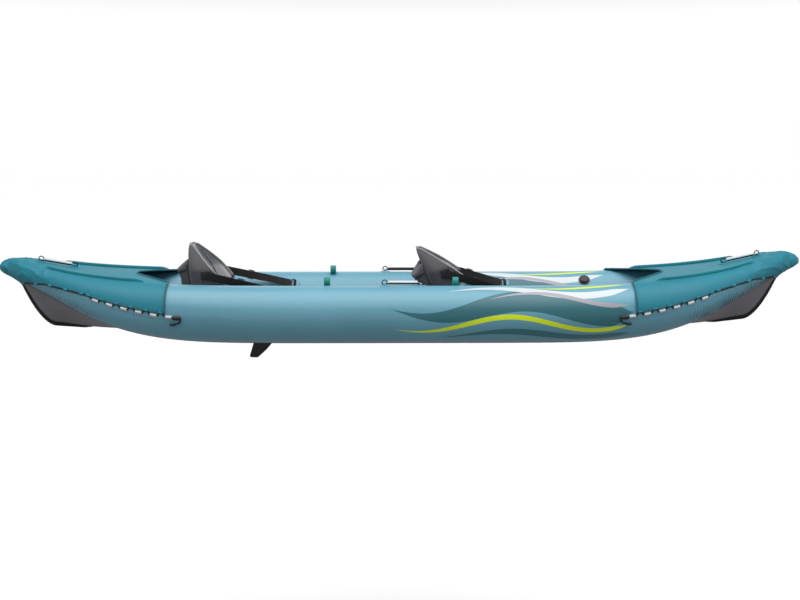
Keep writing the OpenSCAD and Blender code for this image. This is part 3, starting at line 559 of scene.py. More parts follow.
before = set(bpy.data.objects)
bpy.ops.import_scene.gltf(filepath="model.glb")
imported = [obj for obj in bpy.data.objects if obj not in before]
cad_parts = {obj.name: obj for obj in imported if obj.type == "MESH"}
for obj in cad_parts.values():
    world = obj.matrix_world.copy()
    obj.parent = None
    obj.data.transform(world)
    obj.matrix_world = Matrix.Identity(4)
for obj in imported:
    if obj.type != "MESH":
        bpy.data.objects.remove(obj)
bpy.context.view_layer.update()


@dataclass(frozen=True)
class HullShape:
    """The hull's lines, the same as the solids are drawn with."""

    nose_x: float = 1.915
    tube_d: float = 0.260
    gauge: float = 0.340
    flat_half: float = 0.350
    stern_rise: float = 0.185
    bow_rise: float = 0.215
    cap_len: float = 0.135
    taper: float = 0.62
    taper_power: float = 5.2
    taper_round: float = 4.0
    rise_power: float = 4.4
    rise_round: float = 2.0
    gauge_power: float = 4.5
    gauge_end: float = 1.870
    least_gauge: float = 0.006
    nose_gap: float = 0.0003
    tube_z: float = 0.1334
    deck_crown: float = 0.010
    keel_start: float = 0.900
    foot_x: float = 1.657
    stem_x: float = 1.815
    stern_foot_z: float = 0.041
    bow_foot_z: float = 0.069
    stern_stem_z: float = 0.239
    bow_stem_z: float = 0.265
    keel_power: float = 1.3
    stem_power: float = 1.8
    skin_t: float = 0.003
    seat_gap: float = 0.0004
    skin_end: float = 1.820
    cover_x: float = 1.055
    cover_apex_x: float = 1.263
    apex_round: float = 0.35

    def share(self, x: float) -> float:
        """How far x is from the flat stretch towards the nose, from 0 to 1."""
        return max(0.0, (abs(x) - self.flat_half) / (self.nose_x - self.flat_half))

    def grown(self, x: float, power: float, rounding: float) -> float:
        """How far a change that grows towards the nose has come at x, from 0 to 1."""
        return 1 - (1 - min(1.0, self.share(x) ** power)) ** rounding

    def radius(self, x: float) -> float:
        """The chamber's radius at x."""
        return self.tube_d / 2 * (1 - self.taper * self.grown(x, self.taper_power, self.taper_round))

    def centre_z(self, x: float) -> float:
        """Height of the chamber's centre line at x."""
        rise = self.stern_rise if x < 0 else self.bow_rise
        return self.tube_z + rise * self.grown(x, self.rise_power, self.rise_round)

    def centre_y(self, x: float) -> float:
        """Distance of the chamber's centre line from the centre plane at x."""
        return max(self.least_gauge, self.gauge * (1 - (abs(x) / self.gauge_end) ** self.gauge_power))

    def stretch(self, x: float) -> float:
        """How much wider the chamber is across than square to its line."""
        slope = self.gauge * self.gauge_power / self.gauge_end
        return math.hypot(1.0, slope * (abs(x) / self.gauge_end) ** (self.gauge_power - 1))

    def cap_share(self, x: float) -> float:
        """How far x is into the rounded nose, from 0 to 1."""
        return max(0.0, (abs(x) - self.nose_x + self.cap_len) / self.cap_len)

    def cap(self, x: float) -> float:
        """The rounded nose's share of the full radius at x."""
        return math.sqrt(max(0.0, 1 - self.cap_share(x) ** 2))

    def hem(self, x: float) -> float:
        """Angle of the cover's hem round the chamber at x, in degrees."""
        from_nose = (0.055, 0.095, 0.163, 0.270, 0.368, 0.485, 0.860)
        return float(np.interp(self.nose_x - abs(x), from_nose, (-100, -85, -37, 0, 10, 15, 3)))

    def on_tube(self, side: int, x: float, angle: float, off: float = 0.0) -> Point:
        """A point of a chamber's surface.

        Args:
            side: PORT or STARBOARD.
            x: Place along the hull.
            angle: Degrees from the outboard side, 90 at the crest.
            off: Distance outside the surface.

        Returns:
            The point.
        """
        cap, turn = self.cap(x), math.radians(angle)
        y = self.centre_y(x) + (self.radius(x) * self.stretch(x) + off) * cap * math.cos(turn)
        shift = math.copysign(off * self.cap_share(x), x)
        return (x + shift, side * max(self.nose_gap / 2, y),
                self.centre_z(x) + (self.radius(x) + off) * cap * math.sin(turn))

    def on_deck(self, x: float, across: float, off: float) -> Point:
        """A point of the deck between the crests.

        Args:
            x: Place along the hull.
            across: 1 at the port crest, 0 on the centre plane, -1 at the starboard crest.
            off: Distance above the chambers.

        Returns:
            The point.
        """
        y = self.centre_y(x)
        crown = self.deck_crown * (1 - across * across) * y / self.gauge
        shift = math.copysign(off * self.cap_share(x), x)
        return (x + shift, y * across, self.centre_z(x) + (self.radius(x) + off) * self.cap(x) + crown)

    def keel_z(self, x: float) -> float:
        """Height of the skin's keel line at x.

        Args:
            x: Place along the hull.

        Returns:
            The height.
        """
        far = abs(x)
        foot, top = ((self.stern_foot_z, self.stern_stem_z) if x < 0 else (self.bow_foot_z, self.bow_stem_z))
        if far <= self.keel_start:
            return 0.0
        if far <= self.foot_x:
            return foot * ((far - self.keel_start) / (self.foot_x - self.keel_start)) ** self.keel_power
        return foot + (top - foot) * ((far - self.foot_x) / (self.stem_x - self.foot_x)) ** self.stem_power

    def skin_edge_z(self, x: float) -> float:
        """Height of the underside of the skin's edge, below the chamber, at x."""
        return self.centre_z(x) - self.radius(x) * self.cap(x) - self.seat_gap - self.skin_t

    def skin_z(self, x: float, y: float) -> float:
        """Height of the skin's underside at x and y."""
        keel = self.keel_z(x)
        return keel + (self.skin_edge_z(x) - keel) * abs(y) / self.centre_y(x)

    def cover_start(self, across: float) -> float:
        """Where the cover's cockpit edge is along the hull.

        Args:
            across: Share of the way from the centre plane, 0, to a crest, 1.

        Returns:
            The distance from amidships.
        """
        full = math.hypot(1.0, self.apex_round) - self.apex_round
        bend = (math.hypot(across, self.apex_round) - self.apex_round) / full
        return self.cover_apex_x - (self.cover_apex_x - self.cover_x) * bend

    def end_station(self, start: float, t: float) -> float:
        """A place from start, at t = 0, to the nose, at t = 1, closer together towards the nose."""
        return start + (self.nose_x - 0.0001 - start) * (1 - (1 - t) ** 2)


SHAPE = HullShape()


@dataclass
class Hull:
    """The inflated hull: two chambers, the ribbed floor, the bottom skin and its edge binding."""

    inset: float = 0.0010
    pucker_pitch: float = 0.015
    pucker_depth: float = 0.0070
    pucker_wander: float = 0.014
    pucker_angle: float = -68.0
    pucker_rise: tuple[float, float] = (1.16, 1.50)
    pucker_fade: tuple[float, float] = (1.78, 1.84)
    stern_share: float = 0.6
    soft_painted_shade: float = 0.22
    deep_painted_shade: float = 0.45
    plain_half: float = 1.0
    plain_share: float = 0.2
    floor_top: float = 0.0995
    floor_end: float = 1.160
    floor_groove: float = 0.014
    floor_ribs: int = 5
    floor_gap: float = 0.002
    floor_lift: float = 0.004
    floor_least: float = 0.35
    floor_round: int = 16
    floor_edge: float = 0.12
    skin_slack: float = 0.0012
    binding_start: float = 1.490
    binding_wide: float = 0.015
    binding_out: float = 0.0062
    binding_off: float = 0.0016
    binding_t: float = 0.0014
    binding_tip: float = 0.15
    slope_step: float = 0.002

    def station(self, u: float) -> float:
        """A place along a chamber, closer together at both ends where the cloth puckers.

        Args:
            u: From the stern's nose, 0, to the bow's nose, 1.

        Returns:
            The place along the hull.
        """
        way = 2 * u - 1
        if abs(way) < self.plain_share:
            return self.plain_half * way / self.plain_share
        part = (abs(way) - self.plain_share) / (1 - self.plain_share)
        return math.copysign(self.plain_half + (SHAPE.nose_x - self.plain_half) * part, way)

    def pucker(self, side: int, x: float, angle: float) -> float:
        """How far the gathered seam draws the chamber in.

        Args:
            side: PORT or STARBOARD.
            x: Place along the hull.
            angle: Degrees round the chamber.

        Returns:
            A depth, 0 away from the gathers.
        """
        below = math.cos(math.radians(angle - self.pucker_angle))
        if below <= 0 or abs(x) < self.plain_half:
            return 0.0
        reach = ease(abs(x), *self.pucker_rise) * (1 - ease(abs(x), *self.pucker_fade))
        wander = self.pucker_wander * noise.noise((x * 9.0, side * 3.0, angle * 0.008))
        folds = 0.5 + 0.5 * math.sin(2 * math.pi * (x + wander) / self.pucker_pitch)
        uneven = 0.8 + 0.4 * noise.noise((x * 17.0, angle * 0.02, side * 5.0))
        full = self.pucker_depth * (self.stern_share if x < 0 else 1.0)
        return full * reach * below ** 2 * folds ** 1.5 * max(0.1, uneven)

    def chamber(self, side: int, word: str) -> None:
        """Builds one side chamber with its gathers, the painted shade in their valleys, and its print.

        Args:
            side: PORT or STARBOARD.
            word: The side in words.
        """
        def place(u: float, v: float) -> Point:
            """A point of the chamber; v runs round it from the crest."""
            x, angle = self.station(u), 90 - side * 360 * v
            return SHAPE.on_tube(side, x, angle, -self.inset - self.pucker(side, x, angle))

        piece = wrap_grid(f"{word}_chamber", (760, 64), place, uv_size=(3.9, 1.0))
        TUBE_PVC.dress(piece)
        piece.data.materials.append(FOLD_PAINTED_SHADE.material())
        piece.data.materials.append(DEEP_FOLD_PAINTED_SHADE.material())
        # Painted shade: faces deep in the gathers' valleys take the darker laminates
        for face in piece.data.polygons:
            x, y, z = face.center
            angle = math.degrees(math.atan2(z - SHAPE.centre_z(x), side * y - SHAPE.centre_y(x)))
            deep = self.pucker(side, x, angle) / self.pucker_depth
            face.material_index = 0 if deep < self.soft_painted_shade else 1 if deep < self.deep_painted_shade else 2
        settle(piece, "hull", "tube_pvc", f"{word}_tube")

    def floor(self) -> None:
        """Builds the ribbed floor, its ends rounded down to the skin."""
        top_steps, under_steps = 60, 12
        steps = top_steps + under_steps

        def half_width(x: float) -> float:
            """Half the floor's width between the chambers."""
            room = SHAPE.centre_y(x) - SHAPE.radius(x) * SHAPE.stretch(x) - self.floor_gap
            return max(room, self.floor_least * SHAPE.centre_y(x))

        def place(u: float, v: float) -> Point:
            """A point of the floor: across the ribs, then back along the underside.

            Args:
                u: From the stern end, 0, to the bow end, 1.
                v: Across the top to port, then back below, from 0 to 1.

            Returns:
                The point.
            """
            x = self.floor_end * math.sin((u - 0.5) * math.pi)
            wide = half_width(x)
            i = v * steps
            if i <= top_steps:
                across = 2 * i / top_steps - 1
                swell = abs(math.sin(math.pi * self.floor_ribs * i / top_steps)) ** 0.7
                rib = self.floor_groove * (1 - swell)
                foot = SHAPE.skin_z(x, across * wide) + self.floor_lift
                fall = math.sqrt(max(0.0, 1 - (x / self.floor_end) ** self.floor_round))
                fall *= 1 - self.floor_edge * across ** self.floor_round
                return (x, across * wide, foot + max(0.0, self.floor_top - foot - rib) * fall)
            across = 1 - 2 * (i - top_steps) / under_steps
            return (x, across * wide, SHAPE.skin_z(x, across * wide) + self.floor_lift)

        piece = wrap_grid("floor_chamber_ribs", (120, steps), place, uv_size=(2.3, 0.8))
        FLOOR_PVC.dress(piece)
        settle(piece, "hull", "tube_pvc", "floor_chamber")

    def skin(self) -> None:
        """Builds the bottom skin with its V at both ends."""
        def place(u: float, v: float) -> Point:
            """A point of the skin's underside.

            Args:
                u: From the stern, 0, to the bow, 1.
                v: From port, 0, to starboard, 1.

            Returns:
                The point.
            """
            x = SHAPE.skin_end * (2 * u - 1)
            y = SHAPE.centre_y(x) * (1 - 2 * v)
            slack = self.skin_slack * noise.noise((x * 7.0, y * 9.0, 2.0)) * ease(abs(x), 0.9, 1.3)
            return (x, y, SHAPE.skin_z(x, y) - slack * (1 - abs(1 - 2 * v)))

        piece = wrap_grid("bottom_skin", (180, 24), place, uv_size=(3.7, 0.7), closed=False)
        apply_modifier(piece, "SOLIDIFY", thickness=SHAPE.skin_t, offset=-1.0)
        SKIN_PVC.dress(piece)
        settle(piece, "hull", "skin_pvc", "hull_skin")

    def binding(self, end: int, word: str) -> None:
        """Builds the edge binding, a tape folded round the skin's edge at one stem.

        Args:
            end: BOW or STERN.
            word: The end in words.
        """
        def place(u: float, v: float) -> Point:
            """A point of the tape, which is folded round the skin's edge.

            Args:
                u: From under the hull, 0, to the top of the stem, 1.
                v: From one edge, 0, round the fold to the other, 1.

            Returns:
                The point.
            """
            x = self.binding_start + (SHAPE.skin_end - self.binding_start) * u
            step = self.slope_step
            rise = (SHAPE.keel_z(end * (x + step)) - SHAPE.keel_z(end * (x - step))) / (2 * step)
            out_x, out_z = rise / math.hypot(1.0, rise), -1.0 / math.hypot(1.0, rise)
            fold = 1 - 2 * v
            full = self.binding_tip + (1 - self.binding_tip) * ease(u, 0.0, 0.5)
            reach = self.binding_wide * full * abs(fold)
            near = x - out_x * reach
            high = SHAPE.keel_z(end * x) - out_z * reach
            keel, edge = SHAPE.keel_z(end * near), SHAPE.skin_edge_z(end * near)
            part = min(1.0, max(0.0, high - keel) / max(0.002, edge - keel))
            crest = (1 - abs(fold)) ** 2 * ease(u, 0.0, 0.12)
            lift = self.binding_off + (self.binding_out - self.binding_off) * crest
            off = self.binding_off * min(1.0, 6 * abs(fold))
            side = math.copysign(part * SHAPE.centre_y(near) + off, fold)
            return (end * (near + out_x * lift), side * end, high + out_z * lift)

        piece = wrap_grid(f"{word}_edge_binding", (90, 16), place, uv_size=(0.5, 0.03), closed=False)
        thicken(piece, self.binding_t)
        WEBBING.dress(piece)
        settle(piece, "hull", "webbing", f"{word}_stem_binding")

    def build(self) -> None:
        """Builds the whole hull."""
        for side, word in SIDES:
            self.chamber(side, word)
        self.floor()
        self.skin()
        for end, word in ENDS:
            self.binding(end, word)


@dataclass
class Deck:
    """One laced deck cover with its rails, tabs, hem loops, laces and locks."""

    end: int
    word: str
    flat: tuple[float, float] = (0.99, 0.92)
    area: float = 0.535
    outside: float = 0.0036
    cloth: float = 0.0026
    side_steps: int = 26
    deck_steps: int = 40
    nose_fold: float = 0.0060
    slack: float = 0.0012
    roll: float = 0.0035
    roll_wide: float = 0.008
    rim_r: float = 0.0042
    hem_r: float = 0.0028
    hem_share: float = 0.95
    creased: tuple[float, float] = (1.46, 1.72)
    handle_half: tuple[float, float] = (0.05, 0.13)
    handle_end: tuple[float, float] = (1.75, 1.80)
    rail_start: float = 1.168
    rail_len: float = 0.498
    rail_r: float = 0.0072
    rail_flat: float = 0.82
    rail_square: float = 0.42
    rail_lift: float = 0.0078
    rail_sink: float = 0.012
    rail_steps: int = 49
    sink_steps: int = 4
    strip_start: float = 0.985
    strip_len: float = 0.72
    strip_drop: float = 3.0
    strip_wide: float = 12.0
    strip_t: float = 0.0017
    strip_sunk: float = 0.0012
    tab_start: float = 1.035
    tab_pitch: float = 0.069
    tab_len: float = 0.030
    tab_wide: float = 0.016
    tabs: int = 6
    tab_drop: float = 7.0
    hem_lift: float = 0.5
    hem_loops: int = 5
    loop_len: float = 0.018
    loop_wide: float = 0.013
    band_t: float = 0.0007
    band_room: float = 0.0015
    tab_foot: float = 0.0009
    lace_r: float = 0.0032
    lace_off: float = 0.0069
    tab_off: float = 0.0038
    lock_x: float = 1.000
    barrel: tuple[float, ...] = (-0.013, 0.013, 0.0092, 0.0)
    button: tuple[float, ...] = (-0.021, -0.012, 0.0064, 0.0)
    tail_cap: tuple[float, ...] = (0.008, 0.030, 0.0052, 14.5)
    lace_end: float = 1.800
    lace_turn: float = 0.006
    last_loop: float = 0.02
    hem_points: int = 14

    @property
    def steps(self) -> int:
        """Faces across the whole cover."""
        return 2 * self.side_steps + self.deck_steps

    @property
    def hem_start(self) -> float:
        """Where the lace leaves the tabs and follows the hem alone."""
        return self.tab_start + self.tab_pitch * self.tabs

    def wrinkle(self, x: float, u: float) -> float:
        """How far the cloth stands proud: folds on the nose, a little slack elsewhere.

        Args:
            x: Distance from amidships.
            u: From the port hem, 0, to the starboard hem, 1.

        Returns:
            The distance.
        """
        nose = ease(abs(x), *self.creased) * ease(min(u, 1 - u), 0.01, 0.08)
        under_handle = (1 - ease(abs(u - 0.5), *self.handle_half)) * (1 - ease(abs(x), *self.handle_end))
        fold = 1 - abs(2 * noise.noise((x * 13.0, u * 9.0, self.end * 4.0)))
        fine = noise.noise((x * 34.0, u * 22.0, self.end * 9.0))
        soft = 0.5 + 0.5 * noise.noise((x * 5.0, u * 7.0, self.end * 2.0))
        proud = nose * self.nose_fold * fold ** 3 * (0.8 + 0.4 * fine) + self.slack * soft
        return proud * (1 - under_handle)

    def point(self, u: float, t: float) -> Point:
        """A point of the cover's outer face.

        Args:
            u: From the port hem, 0, over the deck to the starboard hem, 1.
            t: From the cockpit edge, 0, to the nose, 1.

        Returns:
            The point.
        """
        rim = self.side_steps / self.steps
        edge = min(u, 1 - u)
        side = PORT if u < 0.5 else STARBOARD
        across = 1.0 if edge <= rim else (0.5 - edge) / (0.5 - rim)
        start = SHAPE.cover_start(across)
        x = SHAPE.end_station(start, t)
        rolled = self.roll * math.exp(-((x - start) / self.roll_wide) ** 2)
        off = self.outside + rolled + self.wrinkle(x, u)
        if edge <= rim:
            hem = SHAPE.hem(x)
            return SHAPE.on_tube(side, self.end * x, hem + (90 - hem) * edge / rim, off)
        return SHAPE.on_deck(self.end * x, side * across, off)

    def cover(self) -> None:
        """Builds the cover, its rolled cockpit edge and its hems."""
        def place(u: float, v: float) -> Point:
            """A point of the cover, turned so that its face looks up."""
            return self.point(u if self.end == BOW else 1 - u, v)

        sheet = wrap_grid(f"{self.word}_cover_cloth", (self.steps, 170), place, uv_size=self.flat,
                          closed=False)
        apply_modifier(sheet, "SOLIDIFY", thickness=self.cloth, offset=-1.0)
        COVER_CLOTH.dress(sheet)
        shares = [i / 120 for i in range(121)]
        rim = [Vector(self.point(share, 0.0)) for share in shares]
        trims = [tube_along(f"{self.word}_rim", rim, self.rim_r, 10, up=(self.end * 0.9, 0.05, 0.44))]
        for u in (0.0, 1.0):
            hem = [Vector(self.point(u, share * self.hem_share)) for share in shares]
            trims.append(tube_along(f"{self.word}_hem", hem, self.hem_r, 8, up=(0.0, 0.3, 0.95)))
        trim = join(f"{self.word}_cover_edging", trims)
        # Partly painted shade: the edging is a darker teal, which along the hems stands for the shade at the
        # cover's edge
        COVER_DARK.dress(trim)
        settle(sheet, "hull", "cover_fabric", f"{self.word}_deck_cover")
        settle(trim, "hull", "cover_fabric")

    def rails(self) -> None:
        """Builds the pair of welted rails along the crests."""
        made = []
        for side in (PORT, STARBOARD):
            path = []
            for step in range(self.rail_steps + 1):
                x = self.end * (self.rail_start + self.rail_len * step / self.rail_steps)
                risen = min(1.0, step / self.sink_steps, (self.rail_steps - step) / self.sink_steps)
                sunk = self.rail_sink * (1 - risen) ** 2
                crest = SHAPE.on_tube(side, x, 90, self.outside)
                path.append(Vector(crest) + Vector((0, 0, self.rail_lift - sunk)))
            made.append(tube_along(f"{self.word}_rail", path, self.rail_r, 20, up=(0, 0, 1),
                                   flat=self.rail_flat, square=self.rail_square))
        piece = join(f"{self.word}_rail_welts", made)
        bpy.ops.object.shade_smooth_by_angle(angle=0.7)
        # Partly painted light: the rails are a lighter teal than the cover, standing for the light on their
        # tops
        COVER_RAIL.dress(piece)
        settle(piece, "hull", "cover_fabric", f"{self.word}_spray_rails")

    def tab_strip(self) -> None:
        """Builds the welded strip that carries the tabs, and the tabs themselves."""
        made = []
        for side in (PORT, STARBOARD):
            def place(u: float, v: float) -> Point:
                """A point of the strip, thin at both edges.

                Args:
                    u: From its cockpit end, 0, to its other end, 1.
                    v: Across the strip, from 0 to 1.

                Returns:
                    The point.
                """
                x = self.end * (self.strip_start + self.strip_len * u)
                lean = 1 - abs(2 * v - 1) ** 6
                reach = min(1.0, 30 * u, 30 * (1 - u))
                across = v if side * self.end < 0 else 1 - v
                angle = SHAPE.hem(x) - self.strip_drop - self.strip_wide * across
                return SHAPE.on_tube(side, x, angle, self.strip_t * lean * reach - self.strip_sunk)
            made.append(wrap_grid(f"{self.word}_strip", (90, 12), place, uv_size=(self.strip_len, 0.03),
                                  closed=False))
        strip = join(f"{self.word}_lace_strip", made)
        PLAIN_PVC.dress(strip)
        settle(strip, "hull", "tube_pvc")
        tab_places = [(side, self.tab_start + self.tab_pitch * i)
                      for side in (PORT, STARBOARD) for i in range(self.tabs)]
        tabs = join(f"{self.word}_tabs", [
            self.band(side, x, -self.tab_drop, (self.tab_len, self.tab_wide), self.tab_foot, self.tab_off)
            for side, x in tab_places])
        TAB_PVC.dress(tabs)
        settle(tabs, "hull", "tab_pvc", f"{self.word}_lace_tabs")
        hem_step = (self.lace_end - self.last_loop - self.hem_start) / (self.hem_loops - 1)
        loop_places = [(side, x + self.tab_pitch / 2) for side, x in tab_places]
        loop_places += [(side, self.hem_start + hem_step * i)
                        for side in (PORT, STARBOARD) for i in range(self.hem_loops)]
        loops = join(f"{self.word}_hem_loops", [
            self.band(side, x, self.hem_lift, (self.loop_len, self.loop_wide), self.outside, self.lace_off)
            for side, x in loop_places])
        COVER_CLOTH.dress(loops)
        settle(loops, "hull", "cover_fabric")

    def band(self, side: int, x: float, turn: float, size: tuple[float, float], foot: float,
             cord_off: float) -> bpy.types.Object:
        """Builds one short band, fixed along both edges and arched over the cord.

        Args:
            side: PORT or STARBOARD.
            x: Where its middle is along the hull, from amidships.
            turn: Degrees round the chamber from the hem.
            size: Length along the hull and width round the chamber.
            foot: Distance of its edges off the chamber.
            cord_off: Distance of the cord's middle off the chamber.

        Returns:
            The band's mesh object.
        """
        wide = math.degrees(size[1] / SHAPE.radius(x))

        def place(u: float, v: float) -> Point:
            """A point of the band.

            Args:
                u: Along the hull, from 0 to 1.
                v: Down over the cord, from 0 to 1.

            Returns:
                The point.
            """
            arch = max(0.0, math.sin(math.pi * min(1.0, max(0.0, (v - 0.14) / 0.72)))) ** 0.55
            off = foot + (cord_off + self.lace_r + self.band_room - foot) * arch
            here = x + size[0] * (u - 0.5)
            return SHAPE.on_tube(side, self.end * here, SHAPE.hem(here) + turn + wide * (0.5 - v), off)

        made = wrap_grid(f"{self.word}_band", (6, 18), place, uv_size=size, closed=False)
        thicken(made, self.band_t)
        return made

    def lace(self, side: int, word: str) -> None:
        """Builds one lace: its tail, through the lock, over the tabs and along the hem.

        Args:
            side: PORT or STARBOARD.
            word: The side in words.
        """
        def at(x: float, turn: float, lift: float = 0.0) -> Point:
            """A point of the route, turn degrees from the hem."""
            return SHAPE.on_tube(side, self.end * x, SHAPE.hem(x) + turn, self.lace_off + lift)

        low = -self.tab_drop
        in_tab = self.tab_off - self.lace_off
        route = [at(self.lock_x + 0.030, low - 15.0, in_tab), at(self.lock_x + 0.012, low - 14.0, in_tab),
                 at(self.lock_x - 0.012, low - 10.0), at(self.lock_x - 0.019, low - 4.0)]
        route += [at(self.lock_x + shift, low) for shift in (-0.012, 0.012)]
        for i in range(self.tabs):
            x = self.tab_start + self.tab_pitch * i
            loop_x = x + self.tab_pitch / 2
            route += [at(x - self.tab_len / 2, low, in_tab), at(x + self.tab_len / 2, low, in_tab),
                      at(loop_x - self.lace_turn, self.hem_lift), at(loop_x + self.lace_turn, self.hem_lift)]
        run = (self.lace_end - self.hem_start) / self.hem_points
        route += [at(self.hem_start + run * i, self.hem_lift) for i in range(self.hem_points + 1)]
        piece = tube_along(f"{self.word}_{word}_lace", smooth_path(route, 5), self.lace_r, 8,
                           up=(0.0, 0.6 * side, 0.8))
        LACE.dress(piece)
        settle(piece, "hull", "lace_cord", f"{self.word}_{word}_lacing")

    def locks(self) -> list[bpy.types.Object]:
        """Builds the barrels and buttons of both cord locks and the caps on the laces' tails.

        Each is given by its two ends from the lock's middle, its radius and its degrees below the lace.

        Returns:
            The meshes.
        """
        made = []
        for side in (PORT, STARBOARD):
            low = SHAPE.hem(self.lock_x) - self.tab_drop
            for first, last, radius, drop in (self.barrel, self.button, self.tail_cap):
                run = [self.lock_x + first + (last - first) * i / 8 for i in range(9)]
                path = [Vector(SHAPE.on_tube(side, self.end * x, low - drop, self.lace_off)) for x in run]
                made.append(tube_along(f"{self.word}_lock", path, radius, 20, up=(0.0, 0.6 * side, 0.8),
                                       square=0.8))
        return made

    def build(self) -> None:
        """Builds the whole deck."""
        self.cover()
        self.rails()
        self.tab_strip()
        for side, word in SIDES:
            self.lace(side, word)


@dataclass
class Seat:
    """One folding seat: base, backrest with its wings, pouch, straps and buckles."""

    word: str
    hinge_x: float
    lean: float
    # Backrest
    hinge_z: float = 0.1504
    back_h: float = 0.285
    half_w: float = 0.195
    back_t: float = 0.020
    wing_reach: float = 0.190
    wing_foot: float = 0.084
    top_round: float = 0.008
    top_half_w: float = 0.062
    narrow_u: float = 0.160
    foot_u: float = 0.0064
    corner_power: float = 0.4
    seam_half: float = 0.016
    seam_press: float = 0.45
    thread_near: float = 0.6
    plump: float = 0.46
    pad_uv: tuple[float, float] = (0.75, 0.55)
    back_tape_r: float = 0.0048
    tape_steps: int = 60
    end_steps: int = 12
    # Straps
    strap_half: float = 0.019
    strap_y: float = 0.1993
    slack_share: float = 0.6
    strap_fore: float = 0.070
    strap_up: float = 0.138
    strap_twist: float = 38.0
    strap_t: float = 0.0011
    strap_wave: float = 0.0006
    ring_off: float = 0.0062
    ring_back: float = 0.0189
    # Pouch
    pouch_low: float = 0.030
    pouch_h: float = 0.185
    pouch_half_w: float = 0.150
    pouch_taper: float = 0.012
    pouch_gap: float = 0.0006
    pouch_crumple: float = 0.0022
    flap_off: float = 0.0035
    flap_t: float = 0.0016
    pouch_tape_r: float = 0.0024
    # Base and the roll behind it
    base_len: float = 0.370
    base_half_w: float = 0.158
    base_t: float = 0.050
    base_fore: float = 0.007
    base_slim: float = 0.98
    base_mid: float = 0.0272
    base_half_t: float = 0.0208
    rim_slim: float = 0.972
    rim_drop: float = 0.030
    base_tape_r: float = 0.0036
    pressure: float = 4.0
    frames: int = 12
    swell: float = 0.006
    channel_gap: float = 0.09
    channel_half: float = 0.007
    channel_depth: float = 0.006
    welt_r: float = 0.0059
    welt_short: float = 0.020

    @property
    def body(self) -> str:
        """The CAD body of the backrest."""
        return f"{self.word}_backrest"

    @property
    def ring_x(self) -> float:
        """Where the straps' rings are along the hull."""
        return RING_XS[self.word]

    def world(self, fore: float, y: float, up: float) -> Point:
        """Turns a point of the leaning backrest into the frame's point.

        Args:
            fore: Distance in front of the hinge, square to the backrest.
            y: Distance to port.
            up: Distance from the hinge, up the backrest.

        Returns:
            The point.
        """
        a = math.radians(self.lean)
        return (self.hinge_x + fore * math.cos(a) - up * math.sin(a), y,
                self.hinge_z + up * math.cos(a) + fore * math.sin(a))

    def narrow(self, up: float) -> float:
        """The backrest's width at a height, as a share of its full width."""
        part = max(0.0, up - self.narrow_u) / (self.back_h - self.narrow_u)
        return 1 - (1 - self.top_half_w / self.half_w) * part ** 1.5

    def wing(self, up: float) -> float:
        """How far the wings reach forward at a height."""
        return self.wing_reach * max(0.0, 1 - (up / self.back_h) ** 1.3)

    def back_point(self, s: float, f: float, depth: float) -> Point:
        """A point inside the backrest.

        Args:
            s: Across, from -1 to 1, round the wings.
            f: Up, from 0 to 1.
            depth: 0 on the inner face and 1 on the outer face.

        Returns:
            The point.
        """
        side = squared(math.sin(math.pi / 2 * s), self.corner_power)
        fore = 1 - max(0.0, math.cos(math.pi / 2 * abs(s))) ** self.corner_power
        low = self.foot_u + self.wing_foot * fore
        high = self.back_h - self.top_round * s ** 4
        up = low + (high - low) * f
        return self.world(self.wing(up) * fore - depth * self.back_t * (1 - fore),
                          (self.half_w * self.narrow(up) - self.back_t * (1 - depth)) * side, up)

    def seam(self, s: float, f: float) -> float:
        """How near a point of the inner face is to a sewn seam, 1 on it."""
        lines = (0.30, 0.68 - 0.12 * f * f, 0.88 - 0.10 * f * f)
        return max(math.exp(-((abs(s) - line) / self.seam_half) ** 2) for line in lines)

    def backrest(self) -> None:
        """Builds the padded backrest: mesh inside, cloth outside, tape round its edge."""
        def place(u: float, v: float) -> Point:
            """A point of the closed pad.

            Args:
                u: Across, from 0 to 1, round the wings.
                v: Up the inner face to 0.5, and down the outer one to 1.

            Returns:
                The point.
            """
            s = 2 * u - 1
            inner = v <= 0.5
            f = 2 * v if inner else 2 - 2 * v
            full = math.sqrt(max(0.0, (1 - abs(2 * f - 1) ** 9) * (1 - abs(s) ** 14)))
            if not inner:
                return self.back_point(s, f, 0.5 + self.plump * full)
            pressed = 1 - self.seam_press * self.seam(s, f)
            return self.back_point(s, f, 0.5 - self.plump * full * pressed)

        pad = wrap_grid(f"{self.word}_back_pad", (150, 120), place, uv_size=self.pad_uv)
        SEAT_MESH.dress(pad)
        pad.data.materials.append(SEAT_CLOTH.material())
        pad.data.materials.append(SEAM_THREAD.material())
        layer = pad.data.uv_layers.active.data
        for face in pad.data.polygons:
            uv = sum((layer[i].uv for i in face.loop_indices), Vector((0, 0))) / face.loop_total
            s, v = 2 * uv.x / self.pad_uv[0] - 1, uv.y / self.pad_uv[1]
            if v > 0.5:
                face.material_index = 1
            elif self.seam(s, 2 * v) > self.thread_near:
                face.material_index = 2
        settle(pad, self.body, "seat_fabric", f"{self.word}_backrest")
        over = [i / self.tape_steps for i in range(1, self.tape_steps + 1)]
        down = [i / self.end_steps for i in range(1, self.end_steps + 1)]
        rim = [(2 * share - 1, 1.0) for share in (0.0, *over)]
        rim += [(1.0, 1 - share) for share in down]
        rim += [(1 - 2 * share, 0.0) for share in over]
        rim += [(-1.0, share) for share in down]
        path = [Vector(self.back_point(s, f, 0.5)) for s, f in rim]
        tape = tube_along(f"{self.word}_back_tape", path, self.back_tape_r, 10, up=(0.37, 0.11, 0.92))
        SEAT_EDGE.dress(tape)
        settle(tape, self.body, "seat_fabric")

